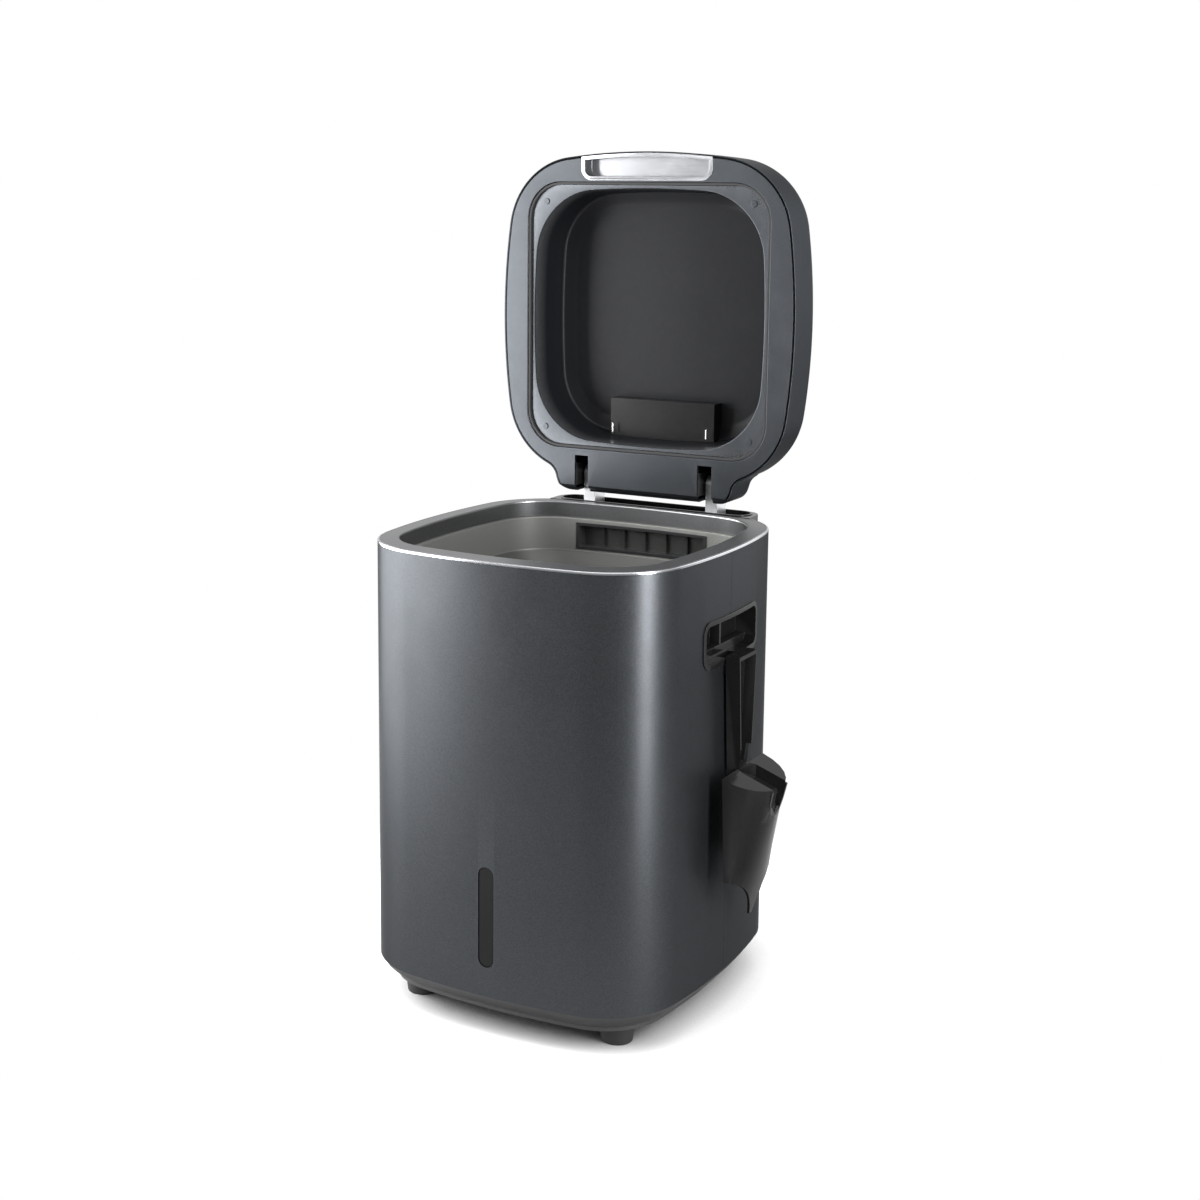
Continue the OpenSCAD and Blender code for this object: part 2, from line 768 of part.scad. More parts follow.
// Gap between the tank and what lies behind it
tank_gap = 2.55;
sleeve_front = trough_r + tank_t + tank_gap;
fan_front = sleeve_front + 2;
fan_depth = 29;
channel_front = fan_front + fan_depth;
channel_drop = 30;
channel_bottom = fan_z - channel_drop;
module exhaust_duct() {
    duct_hw = grille_w / 2 + 2;
    duct_top = grille_mid + grille_h / 2 + 1.5;
    color("#3a3c3e") difference() {
        union() {
            box([-duct_hw, duct_front, duct_bottom], [duct_hw, duct_back, duct_top]);
            box([-channel_hw, channel_front, channel_bottom], [channel_hw, duct_back, duct_bottom + 5]);
        }
        box([-duct_hw + duct_t, duct_front + duct_t, duct_bottom + duct_t],
            [duct_hw - duct_t, duct_back - duct_t, duct_top - duct_t]);
        box([-channel_hw + duct_t, channel_front + duct_t, channel_bottom + duct_t],
            [channel_hw - duct_t, duct_back - duct_t, duct_bottom + 6]);
        along_y(duct_front - eps, duct_front + duct_t + eps) grille_rect(grille_w / 2 - 2, grille_h / 2 - 2);
        bar_y(channel_front - eps, channel_front + duct_t + eps, fan_eye, 0, fan_z);
    }
}

fan_eye = 20;
fan_wall = 1.8;
scroll_r = fan_r + 9;
outlet_x = 14;
outlet_rise = 12;
outlet_bottom = drawer_z + drawer_h + outlet_rise;
module scroll_plan(inset) {
    translate([0, fan_z]) circle(scroll_r - inset);
    translate([outlet_x + inset, outlet_bottom])
        square([scroll_r - outlet_x - 2 * inset, fan_z - outlet_bottom]);
}

module blower_housing() {
    color("#2b2d2f") difference() {
        along_y(fan_front, channel_front) scroll_plan(0);
        along_y(fan_front + fan_wall, channel_front - fan_wall) scroll_plan(fan_wall);
        box([outlet_x + fan_wall, fan_front + fan_wall, outlet_bottom - 1],
            [scroll_r - fan_wall, channel_front - fan_wall, outlet_bottom + 5]);
        bar_y(channel_front - fan_wall - eps, channel_front + eps, fan_eye, 0, fan_z);
        bar_y(fan_front - eps, fan_front + fan_wall + eps, fan_motor_r + press_gap, 0, fan_z);
    }
}

fan_motor_r = 12;
fan_shaft_r = 2.5;
fan_motor_in = 8;
motor_flange = 2.5;
module blower_motor() {
    color("#9da1a4") difference() {
        union() {
            bar_y(fan_front - motor_flange, fan_front + fan_motor_in, fan_motor_r, 0, fan_z);
            bar_y(fan_front - motor_flange, fan_front, fan_motor_r + 4, 0, fan_z);
        }
        bar_y(fan_front, fan_front + fan_motor_in + 1, fan_shaft_r + running_gap, 0, fan_z);
    }
}

fan_plate_t = 1.5;
fan_hub_r = 6;
fan_blade_d = 8;
fan_blade_t = 1.2;
module blower_wheel() {
    wheel_front = fan_front + fan_motor_in + 1.5;
    wheel_back = channel_front - fan_wall - 2;
    color("#d8dadb") {
        bar_y(fan_front + 1, wheel_back - 4, fan_shaft_r, 0, fan_z);
        bar_y(wheel_front, wheel_front + fan_plate_t, fan_r, 0, fan_z);
        bar_y(wheel_front, wheel_back - 6, fan_hub_r, 0, fan_z);
        for (i = [0:fan_blades - 1]) translate([0, 0, fan_z]) rotate([0, i * 360 / fan_blades, 0])
            box([fan_r - fan_blade_d, wheel_front + eps, -fan_blade_t / 2],
                [fan_r - eps, wheel_back, fan_blade_t / 2]);
        difference() {
            bar_y(wheel_back - fan_plate_t, wheel_back, fan_r, 0, fan_z);
            bar_y(wheel_back - fan_plate_t - 1, wheel_back + 1, fan_r - fan_blade_d / 2, 0, fan_z);
        }
    }
}

// Filter drawer in its sleeve
sleeve_t = 1.8;
// The drawer's box is this much smaller than its front, on each side
drawer_slim = 0.8;
// Gap between the drawer's box and its sleeve
drawer_run = 0.3;
sleeve_foot_hw = 40;
module filter_sleeve() {
    hw = drawer_w / 2 - drawer_slim + drawer_run;
    z0 = drawer_z + drawer_slim - drawer_run;
    z1 = drawer_z + drawer_h - drawer_slim + drawer_run;
    sleeve_back = spine_y - panel_t - 0.4;
    outer = hw + sleeve_t;
    color("#3a3c3e") difference() {
        union() {
            box([-outer, sleeve_front, z0 - sleeve_t], [outer, sleeve_back, z1 + sleeve_t]);
            box([-sleeve_foot_hw, sleeve_front + 3, base_floor],
                [sleeve_foot_hw, sleeve_front + 6, z0 - sleeve_t + eps]);
            box([outlet_x, fan_front, z1], [scroll_r, channel_front, outlet_bottom]);
        }
        box([-hw, sleeve_front + sleeve_t, z0], [hw, spine_y + 1, z1]);
        box([outlet_x + fan_wall, fan_front + fan_wall, z1 - 1],
            [scroll_r - fan_wall, channel_front - fan_wall, outlet_bottom + 1]);
    }
}

drawer_t = 1.6;
drawer_front = sleeve_front + sleeve_t + 1;
panel_t = 3;
panel_r = 3.5;
pull_w = 46;
pull_h = 14;
pull_d = 10.5;
pull_drop = 6;
vent_hw = 38;
vent_h = 3.5;
vent_margin = 12;
module filter_drawer() {
    hw = drawer_w / 2 - drawer_slim;
    z0 = drawer_z + drawer_slim;
    z1 = drawer_z + drawer_h - drawer_slim;
    pull_top = z1 - pull_drop;
    pull_low = pull_top - pull_h;
    panel_front = spine_y - panel_t;
    slot_pitch = (pull_low - drawer_z - vent_margin - 9) / vent_slots;
    color("#5b5e61") difference() {
        union() {
            along_y(panel_front, spine_y) translate([0, drawer_z + drawer_h / 2])
                polygon(rounded(drawer_w / 2, drawer_h / 2, panel_r));
            difference() {
                box([-hw, drawer_front, z0], [hw, panel_front, z1]);
                box([-hw + drawer_t, drawer_front + drawer_t, z0 + drawer_t],
                    [hw - drawer_t, panel_front + eps, z1 + 1]);
            }
            box([-pull_w / 2 - drawer_t, spine_y - pull_d - drawer_t, pull_low - 2],
                [pull_w / 2 + drawer_t, panel_front + eps, z1 - 1.5]);
        }
        for (i = [0:vent_slots - 1]) translate([0, 0, drawer_z + vent_margin + i * slot_pitch])
            box([-vent_hw, panel_front - eps, 0], [vent_hw, spine_y + eps, vent_h]);
        box([-pull_w / 2, spine_y - pull_d, pull_low], [pull_w / 2, spine_y + eps, pull_top]);
        box([-pull_w / 2, spine_y - pull_d, pull_top - 2], [pull_w / 2, panel_front - eps, pull_top + 3]);
    }
}

pack_gap = 0.3;
module carbon_pack() {
    hw = drawer_w / 2 - drawer_slim - drawer_t - pack_gap;
    color("#3d3f3c") box([-hw, drawer_front + drawer_t + pack_gap, drawer_z + drawer_slim + drawer_t],
                         [hw, spine_y - pull_d - drawer_t - 1.9, drawer_z + drawer_h - 8]);
}

// Gear train on the left of the tank
driven_teeth = 48;
pinion_teeth = 16;
// Gap between the gearbox and the tank, and the even number of idler teeth that keeps it
gearbox_gap = 4;
gearbox_r = motor_r + 3;
least_span = trough_r + tank_t + gearbox_r + gearbox_gap;
idler_teeth = 2 * ceil((least_span / gear_module - (driven_teeth + pinion_teeth) / 2) / 2);
driven_pitch_r = driven_teeth * gear_module / 2;
idler_pitch_r = idler_teeth * gear_module / 2;
pinion_pitch_r = pinion_teeth * gear_module / 2;
train_span = driven_pitch_r + 2 * idler_pitch_r + pinion_pitch_r;
train_angle = acos(motor_y / train_span);
idler_span = driven_pitch_r + idler_pitch_r;
idler_y = -idler_span * cos(train_angle);
idler_z = shaft_z - idler_span * sin(train_angle);
pinion_y = -train_span * cos(train_angle);
pinion_z = shaft_z - train_span * sin(train_angle);
gear_x1 = -tank_x - tank_t - bush_out - 3.5;
gear_x0 = gear_x1 - gear_w;
pin_r = 5;

// Toothed wheel in Y and Z whose first tooth points along angle
module gear(teeth, bore_r, angle, y, z) {
    pitch_r = teeth * gear_module / 2;
    root_r = pitch_r - gear_module * 1.2;
    tip_r = pitch_r + gear_module * 0.9;
    step = 360 / teeth;
    flank = [[root_r, -step * 0.34], [pitch_r, -step * 0.23], [tip_r, -step * 0.11],
             [tip_r, step * 0.11], [pitch_r, step * 0.23], [root_r, step * 0.34]];
    difference() {
        along_x(gear_x0, gear_x1) translate([y, z]) rotate(angle)
            polygon([for (i = [0:teeth - 1]) for (f = flank) f[0] * polar(i * step + f[1])]);
        bar_x(gear_x0 - 1, gear_x1 + 1, bore_r, y, z);
    }
}

toward_motor = 180 + train_angle;
module driven_gear() {
    color("#c9c6b8") {
        gear(driven_teeth, shaft_r + press_gap, toward_motor, 0, shaft_z);
        difference() {
            bar_x(gear_x0 - 3, gear_x0, shaft_r + 6, 0, shaft_z);
            bar_x(gear_x0 - 4, gear_x0 + 1, shaft_r + press_gap, 0, shaft_z);
        }
    }
}

module idler_gear() {
    color("#c9c6b8")
        gear(idler_teeth, pin_r + running_gap, toward_motor + 180 / idler_teeth, idler_y, idler_z);
}

module motor_pinion() {
    color("#b5b8ba") {
        gear(pinion_teeth, pin_r - 1, toward_motor + 180, pinion_y, pinion_z);
        bar_x(gear_x0 - 1.5, bracket_x1 + 14, pin_r, pinion_y, pinion_z);
    }
}

bracket_t = 2.5;
bracket_x1 = -tank_x - tank_t - 1;
bracket_x0 = bracket_x1 - bracket_t;
module bracket_bar(y0, z0, y1, z1, w) {
    translate([0, y0, z0]) rotate([atan2(z1 - z0, y1 - y0), 0, 0])
        box([bracket_x0, 0, -w / 2], [bracket_x1, norm([y1 - y0, z1 - z0]), w / 2]);
}

module gear_bracket() {
    color("#9fa3a6") difference() {
        union() {
            bar_x(bracket_x0, bracket_x1, bush_r + 8, 0, shaft_z);
            bar_x(bracket_x0, bracket_x1, 14, idler_y, idler_z);
            bar_x(bracket_x0, bracket_x1, motor_r + 4, pinion_y, pinion_z);
            bracket_bar(0, shaft_z, pinion_y, pinion_z, 26);
            bar_x(bracket_x0, -tank_x - tank_t, 4, 18, shaft_z + 8);
            for (s = [-1, 1]) bar_x(bracket_x0, -tank_x - tank_t, 3.5, s * 14, shaft_z - s * 11);
        }
        bar_x(bracket_x0 - 1, bracket_x1 + 2, bush_r, 0, shaft_z);
        bar_x(bracket_x0 - 1, bracket_x1 + 1, pin_r + press_gap, idler_y, idler_z);
        bar_x(bracket_x0 - 1, bracket_x1 + 1, pin_r + 3, pinion_y, pinion_z);
    }
}

module idler_pin() {
    color("silver") {
        bar_x(gear_x0 - 1.5, bracket_x1, pin_r, idler_y, idler_z);
        bar_x(gear_x0 - 3, gear_x0 - 1, pin_r + 2.5, idler_y, idler_z);
        bar_x(gear_x1 + 0.4, bracket_x0, pin_r + 2.5, idler_y, idler_z);
    }
}

gearbox_len = 30;
module gearbox() {
    color("#8f9396") difference() {
        bar_x(bracket_x1, bracket_x1 + gearbox_len, gearbox_r, pinion_y, pinion_z);
        bar_x(bracket_x1 - 1, bracket_x1 + 15, pin_r + running_gap, pinion_y, pinion_z);
    }
}

motor_len = 58;
// Saddles that carry the motor on the base
saddle_in = 10;
saddle_t = 4;
saddle_hy = 12;
module drive_motor() {
    start = bracket_x1 + gearbox_len;
    color("#5f6366") {
        bar_x(start, start + motor_len, motor_r, pinion_y, pinion_z);
        bar_x(start + motor_len, start + motor_len + 4, 6, pinion_y, pinion_z);
        for (x = [start + saddle_in, start + motor_len - saddle_in - saddle_t])
            box([x, pinion_y - saddle_hy, base_floor],
                [x + saddle_t, pinion_y + saddle_hy, pinion_z - motor_r * 0.7]);
    }
}

// Stirring shaft with its arms
module stirring_shaft() {
    color("silver") {
        bar_x(gear_x0 - 4, tank_x + tank_t + bush_out - 1, shaft_r, 0, shaft_z);
        bar_x(-hub_hx, hub_hx, hub_r, 0, shaft_z);
    }
}

// Gap between the hub and the tank's side wall
hub_gap = 8.5;
hub_hx = tank_x - hub_gap;
hub_r = 13;
blade_w = 34;
blade_t = 4;
blade_h = 22;
blade_slant = 18;
arm_t = 12;
module stirring_arms() {
    first = -hub_hx + blade_w / 2;
    pitch = -2 * first / (arm_count - 1);
    color("#b3b6b8") difference() {
        for (i = [0:arm_count - 1]) stirring_arm(first + i * pitch, i * 720 / arm_count + (i % 2) * 90);
        bar_x(-hub_hx, hub_hx, hub_r + press_gap, 0, shaft_z);
    }
}

// Half depth of the trough at x, where its corners round inwards
function trough_depth(x) = x < plan_c[0] ? trough_r
    : min(trough_r, corner_y(x, trough_inset));

// One arm with its slanted blade, at x along the shaft
module stirring_arm(x, angle) {
    reach = trough_depth(abs(x) + blade_w / 2) - arm_gap;
    translate([x, 0, shaft_z]) rotate([angle, 0, 0]) {
        box([-arm_t / 2, -blade_t, hub_r - 1], [arm_t / 2, blade_t, reach - blade_h * 0.6]);
        intersection() {
            rotate([0, 0, blade_slant])
                box([-blade_w / 2, -blade_t / 2, reach - blade_h], [blade_w / 2, blade_t / 2, big]);
            rotate([0, 90, 0]) cylinder(h = 2 * blade_w, r = reach, center = true);
            box([-blade_w / 2, -blade_w, 0], [blade_w / 2, blade_w, big]);
        }
    }
}

// Control board on the right of the tank, with posts on the tank wall
board_hy = 48;
board_z0 = 96;
board_z1 = 168;
board_off = 12;
post_y = 20;
module control_board() {
    back = tank_x + tank_t;
    x0 = back + board_off;
    front = x0 + board_t;
    color("#1f6b3a") box([x0, -board_hy, board_z0], [front, board_hy, board_z1]);
    color("#c2c4c6") for (s = [-1, 1], z = [board_z0 + 12, board_z1 - 10])
        bar_x(back - post_bow, x0, 3.5, s * post_y, z);
    color("#202224") {
        box([front, -34, board_z0 + 8], [front + 5, -8, board_z0 + 28]);
        box([front, 8, board_z0 + 16], [front + 7, 30, board_z0 + 40]);
        for (i = [0:2]) bar_x(front, front + 7, 4, -30 + i * 14, board_z1 - 20);
    }
}
// How far the bowed tank wall lies inside its widest place at the posts
post_bow = bow_at(post_y - 4) - seat_gap;

// Power inlet and rocker switch on the back
// Box about (inlet_x, z) with half sizes hw and hh, from y0 to y1
module back_box(z, hw, hh, y0, y1) {
    box([inlet_x - hw, y0, z - hh], [inlet_x + hw, y1, z + hh]);
}

bezel_t = 1.5;
socket_d = 15;
socket_hw = 10;
socket_hh = 6.5;
blade_pitch = 5;
rocker_fit = 0.6;
module power_inlet() {
    back = spine_y + bezel_t;
    color("#141516") difference() {
        union() {
            back_box(inlet_z, inlet_w / 2 - 0.4, inlet_h / 2 - 0.4, spine_y - socket_d - 3, spine_y);
            back_box(inlet_z, inlet_w / 2 + 2, inlet_h / 2 + 2, spine_y, back);
            back_box(rocker_z, rocker_w / 2 + 3, rocker_h / 2 + 3, spine_y, back);
            back_box(rocker_z, rocker_w / 2 + 0.8, rocker_h / 2 + 0.8, spine_y - 14, spine_y);
        }
        back_box(inlet_z, socket_hw, socket_hh, spine_y - socket_d, back + 1);
        back_box(rocker_z, rocker_w / 2 - rocker_fit, rocker_h / 2 - rocker_fit, spine_y - 12, back + 1);
        bar_x(inlet_x - rocker_w / 2 - 0.2, inlet_x + rocker_w / 2 + 0.2,
              rocker_pin_r + running_gap, spine_y - rocker_in, rocker_z);
    }
    color("#c9a548") for (i = [-1:1]) translate([i * blade_pitch, 0, 0])
        back_box(inlet_z, 1, 2, spine_y - socket_d - eps, spine_y - 5);
}

rocker_pin_r = 1.5;
rocker_in = 4;
rocker_tilt = 9;
rocker_r = 8.2;
rocker_hh = 7.5;
rocker_out = 7;
module power_rocker() {
    color("#2a2c2e") translate([inlet_x, spine_y - rocker_in, rocker_z]) rotate([-rocker_tilt, 0, 0]) {
        rotate([0, 90, 0]) cylinder(h = rocker_w - 0.4, r = rocker_pin_r, center = true);
        intersection() {
            rotate([0, 90, 0]) cylinder(h = rocker_w - 2, r = rocker_r, center = true);
            box([-rocker_w / 2, -2.5, -rocker_hh], [rocker_w / 2, rocker_out, rocker_hh]);
        }
    }
}

// Hinge tray, arms and screws
tray_t = 1.8;
tray_drop = 8;
tray_floor = casing_top - tray_drop;
tray_hx = 99.8;
tray_r = 13.5;
tray_margin = casing_t + 0.2;
module tray_plan(inset) {
    translate([0, (tray_front + spine_y) / 2])
        polygon(rounded(tray_hx - inset, (spine_y - tray_front) / 2 - inset - tray_margin, tray_r - inset));
}

module hinge_tray() {
    color("#1b1c1e") difference() {
        union() {
            between(tray_floor, deck_top + 0.4) tray_plan(0);
            between(casing_top, deck_top - 0.4) intersection() {
                spine_plan(0);
                translate([-big / 2, tray_front]) square(big);
            }
            hinge_screw_places() translate([0, 0, tray_floor - boss_h]) cylinder(h = boss_h + eps, r = boss_r);
        }
        between(tray_floor + tray_t, deck_top + 5) tray_plan(tray_t);
        hinge_screw_places() translate([0, 0, tray_floor - boss_h - eps]) cylinder(h = big, r = hinge_screw_r);
    }
}

screw_dx = 15;
screw_dy = 5;
hinge_screw_y = hinge_y + screw_dy;
hinge_screw_r = 2;
boss_r = 4;
boss_h = 4;
module hinge_screw_places() {
    for (s = [-1, 1], d = [-1, 1]) translate([s * arm_x + d * screw_dx, hinge_screw_y, 0]) children();
}

// How far an arm reaches in front of the hinge axis and behind it
arm_fore = 8;
arm_aft = 12;
arm_front = hinge_y - arm_fore;
arm_back = hinge_y + arm_aft;
eye_r = 8;
lid_z = deck_top + lid_gap;
hinge_z = lid_z + hinge_rise;
foot_plate_hx = 22;
foot_plate_t = 3;
module hinge_arms() {
    seat = tray_floor + tray_t;
    color("#dfe2e4") difference() {
        for (s = [-1, 1]) translate([s * arm_x, 0, 0]) {
            box([-arm_w / 2, arm_front, seat], [arm_w / 2, arm_back, hinge_z - eye_r - 1]);
            box([-arm_w / 2, arm_front, hinge_z - eye_r - 2], [arm_w / 2, arm_front + 2 * eye_r, hinge_z]);
            bar_x(-arm_w / 2, arm_w / 2, eye_r, hinge_y, hinge_z);
            box([-foot_plate_hx, arm_front + 2, seat], [foot_plate_hx, arm_back - 1, seat + foot_plate_t]);
        }
        bar_x(-half_w, half_w, hinge_pin_r + running_gap, hinge_y, hinge_z);
        hinge_screw_places() translate([0, 0, seat - 1]) cylinder(h = foot_plate_t + 2, r = hinge_screw_r);
    }
}

hinge_head_r = 4;
hinge_head_t = 2.4;
module hinge_screws() {
    head_z = tray_floor + tray_t + foot_plate_t;
    color("white") hinge_screw_places() {
        translate([0, 0, tray_floor - boss_h]) cylinder(h = head_z - tray_floor + boss_h, r = hinge_screw_r);
        translate([0, 0, head_z]) cylinder(h = hinge_head_t, r = hinge_head_r);
    }
}

// Scoop that hangs on the right recess
scoop_y = 4;
scoop_x = half_w + scoop_gap;
handle_top = recess_z + 5;
handle_len = 98;
handle_bottom = handle_top - handle_len;
trough_top = handle_bottom - 2;
trough_tip = trough_top - scoop_len;
trough_x = scoop_x + 10.5;
tip_d = 5;
rim_lean = 5;
end_slope = 20;

// Half round section of the trough at height z, moved inwards by inset
function trough_ring(z, inset) =
    let(s = (trough_top - z) / scoop_len,
        depth = scoop_d * (1 - s) + tip_d * s - inset,
        hw = scoop_hw - inset,
        x0 = trough_x + rim_lean * s,
        back = inset > 0 ? 3 : 0.5)
    concat([for (i = [0:12]) let(t = -90 + 15 * i) [x0 + depth * cos(t), scoop_y + hw * sin(t), z]],
           [[x0 - back, scoop_y + hw, z], [x0 - back, scoop_y - hw, z]]);

trough_rings = 8;
module trough_solid(inset) {
    z0 = trough_tip - 2;
    z1 = trough_top + 10;
    loft([for (i = [0:trough_rings]) trough_ring(z0 + i * (z1 - z0) / trough_rings, inset)]);
}

// Everything above the slanted end wall
module above_end(drop) {
    translate([scoop_x, 0, trough_top + 4 - drop]) rotate([0, end_slope, 0]) box([-30, -80, 0], [90, 80, 60]);
}

// Hollow curve that cuts the lip in to the tip, on side s
module lip_cut(s) {
    rise = [scoop_hw - tip_hw, lip_h];
    half = norm(rise) / 2;
    out = [rise[1], -rise[0]] / norm(rise) * sqrt(pow(lip_r, 2) - pow(half, 2));
    centre = [tip_hw, trough_tip] + rise / 2 + out;
    translate([scoop_y + s * centre[0], centre[1]]) circle(lip_r);
}

lip_r = 62;
lip_h = 40;
tip_hw = 2.5;
module scoop() {
    color("#2c2e30") {
        difference() {
            trough_solid(0);
            difference() {
                trough_solid(scoop_t);
                above_end(scoop_t);
            }
            above_end(0);
            along_x(trough_x - 10, trough_x + 80) {
                lip_cut(1);
                lip_cut(-1);
                translate([scoop_y - 80, trough_tip - 40]) square([160, 40]);
            }
        }
        scoop_handle();
    }
}

// Tapered outline in Y and Z, half as wide as hw0 at z0 and hw1 at z1
module taper(hw0, z0, hw1, z1) {
    translate([scoop_y, 0]) polygon([[-hw0, z0], [hw0, z0], [hw1, z1], [-hw1, z1]]);
}

groove_hw = 7;
handle_wall = 3;
handle_root = 8;
module scoop_handle() {
    difference() {
        along_x(scoop_x, scoop_x + scoop_handle_t)
            taper(scoop_neck_w / 2, handle_bottom - handle_root, scoop_handle_w / 2, handle_top);
        along_x(scoop_x + handle_wall, scoop_x + scoop_handle_t + 1)
            taper(groove_hw, handle_bottom - handle_root - 1, scoop_handle_w / 2 - 5.5, handle_top - 6);
    }
}

hook_angle = 30;
hook_t = 3;
hook_hw = 8;
// Where the hook leaves the handle's back, inwards and downwards from its top
hook_in = 1;
hook_drop = 2;
hook_len = 14.5;
module scoop_hook() {
    color("#2c2e30") difference() {
        translate([scoop_x + hook_in, scoop_y, handle_top - hook_drop]) rotate([0, hook_angle, 0])
            box([-hook_t / 2, -hook_hw, -hook_len], [hook_t / 2, hook_hw, 4]);
        box([scoop_x, scoop_y - 30, handle_top - 60], [scoop_x + 20, scoop_y + 30, handle_top + 20]);
    }
}

// Lid: everything below is drawn shut and then swung open about the hinge
module lid_pose() {
    translate([0, hinge_y, hinge_z]) rotate([-lid_open_angle, 0, 0])
        translate([0, -hinge_y, -hinge_z]) children();
}

tongue_end = hinge_y + tongue_reach;
tongue_h = 50;
tongue_r = 14;
flare_r = 16;
crown_r = 30;
dome_side_h = lid_h - crown_r;
// Centre of the flare that joins the tongue to the body plan
plan_c = corner_centre();
function corner_centre() =
    let(a = [half_w - side_bow_r, 0], b = [0, half_d - side_bow_r],
        rho = side_bow_r - corner_r, mid = (a + b) / 2, ab = b - a, d = norm(ab))
    mid + [-ab[1], ab[0]] / d * sqrt(rho * rho - d * d / 4);
flare_x = tongue_hw + flare_r;
flare_y = plan_c[1] + sqrt(pow(corner_r + flare_r, 2) - pow(flare_x - plan_c[0], 2));

// Straight part of the tongue, with its corners moved in by corner
tongue_len = 60;
module tongue_straight(inset, r) {
    translate([0, tongue_end - tongue_len]) polygon(rounded(tongue_hw - inset, tongue_len - inset, r));
}

flare_root = 22;
module tongue_plan(inset) {
    difference() {
        union() {
            tongue_straight(inset, tongue_r - inset);
            translate([-flare_x + inset, flare_y - flare_root]) square([2 * (flare_x - inset), flare_root]);
        }
        for (s = [-1, 1]) translate([s * flare_x, flare_y]) circle(flare_r + inset);
    }
}

// How far the dome's sides draw in, and the steps of its crown
dome_draft = 0.8;
crown_steps = 5;
function crown_ring(t, inset, drop) =
    at_z(plan(inset + dome_draft + crown_r * (1 - cos(t))), lid_z + dome_side_h + (crown_r - drop) * sin(t));
module dome(inset, drop) {
    foot = at_z(plan(inset), lid_z - (inset > 0 ? eps : 0));
    loft(concat([foot], [for (i = [0:crown_steps]) crown_ring(90 * i / crown_steps, inset, drop)]));
}

tongue_bevel_h = 10;
tongue_bevel_in = 8;
module tongue_block(inset, drop) {
    top = lid_z + tongue_h - drop;
    shoulder = top - tongue_bevel_h;
    between(lid_z - (inset > 0 ? eps : 0), shoulder) tongue_plan(inset);
    hull() {
        between(shoulder - 1, shoulder) tongue_straight(inset, tongue_r - inset);
        between(top - 1, top) tongue_straight(inset + tongue_bevel_in, tongue_r);
    }
}

// Bevel on the tongue's end, which clears the hinge tray as the lid swings
bevel = 6;
module tongue_bevel() {
    past = 3;
    along_x(-half_w, half_w)
        polygon([[tongue_end - bevel - 1, lid_z - 1], [tongue_end + past, lid_z - 1],
                 [tongue_end + past, lid_z + bevel + past]]);
}

// Slots in the tongue through which the hinge arms pass
arm_clear = 1.2;
slot_front = arm_front - 12;
slot_rise = arm_back - hinge_y + arm_clear;
module arm_slots() {
    hw = arm_w / 2 + arm_clear;
    for (s = [-1, 1]) translate([s * arm_x, 0, 0])
        box([-hw, slot_front, lid_z - 1], [hw, tongue_end + 5, hinge_z + slot_rise]);
}

module lid_shell() {
    color("#6d7073") lid_pose() difference() {
        union() {
            dome(0, 0);
            tongue_block(0, 0);
        }
        dome(lid_t, lid_t);
        tongue_block(lid_t, lid_t);
        arm_slots();
        tongue_bevel();
        grip_cut(0.2);
    }
}

// Outline of the groove that holds the gasket, grown by grow
groove_hx = half_w - 26;
groove_hy = half_d - 27.85;
groove_r = 35;
module groove_outline(grow) {
    polygon(rounded(groove_hx + grow, groove_hy + grow, groove_r + grow));
}

// Flat band round the lid's underside
rim_t = 3;
rim_fit = 0.15;
rim_wall = 2;
rim_wall_h = 6;
module lid_rim() {
    color("#8b9094") lid_pose() difference() {
        union() {
            between(lid_z, lid_z + rim_t) difference() {
                union() {
                    polygon(plan(lid_t + rim_fit));
                    tongue_plan(lid_t + rim_fit);
                }
                groove_outline(0);
            }
            between(lid_z + rim_t, lid_z + rim_t + rim_wall_h) difference() {
                groove_outline(rim_wall);
                groove_outline(0);
            }
        }
        arm_slots();
        tongue_bevel();
        grip_cut(0.2);
    }
}

gasket_w = 2.5;
gasket_fit = 0.1;
module lid_gasket() {
    color("#1c1d1e") lid_pose() between(lid_z + 1, lid_z + rim_t + 4) difference() {
        groove_outline(-gasket_fit);
        groove_outline(-gasket_w);
    }
}

// Inner tub of the lid
cavity_in = 5.5;
cavity_hx = groove_hx - cavity_in;
cavity_hy = groove_hy - cavity_in;
cavity_d = 58;
liner_t = 1.8;
liner_z = lid_z + 4;
cavity_bow_r = 900;
cavity_corner_r = 64;
ceiling_z = liner_z + cavity_d - 4;
// Steps of the tub's wall: inset, and distance below the ceiling
tub_steps = [[3, 14], [5, 6], [9, 0]];
tub_top_in = 16;
function cavity(inset) =
    bowed(cavity_hx - inset, cavity_hy - inset, cavity_bow_r - inset, cavity_corner_r - inset);
module liner_tub(grow) {
    loft(concat([at_z(cavity(-grow), liner_z + (grow > 0 ? 0.2 : -eps))],
                [for (t = tub_steps) at_z(cavity(t[0] - grow), ceiling_z - t[1])],
                [at_z(cavity(tub_top_in - grow), ceiling_z + grow)]));
}

module lid_liner() {
    color("#55585b") lid_pose() difference() {
        union() {
            between(liner_z, liner_z + liner_t) groove_outline(-gasket_w - gasket_fit);
            liner_tub(liner_t);
        }
        liner_tub(0);
        liner_screw_places() translate([0, 0, liner_z - 1]) cylinder(h = 10, r = liner_screw_r);
    }
}

// How far a liner screw lies inside the gasket's groove
liner_screw_in = 18;
liner_screw_x = groove_hx - liner_screw_in;
liner_screw_y = groove_hy - liner_screw_in - 0.5;
liner_screw_r = 1.5;
module liner_screw_places() {
    for (sx = [-1, 1], sy = [-1, 1]) translate([sx * liner_screw_x, sy * liner_screw_y, 0]) children();
}

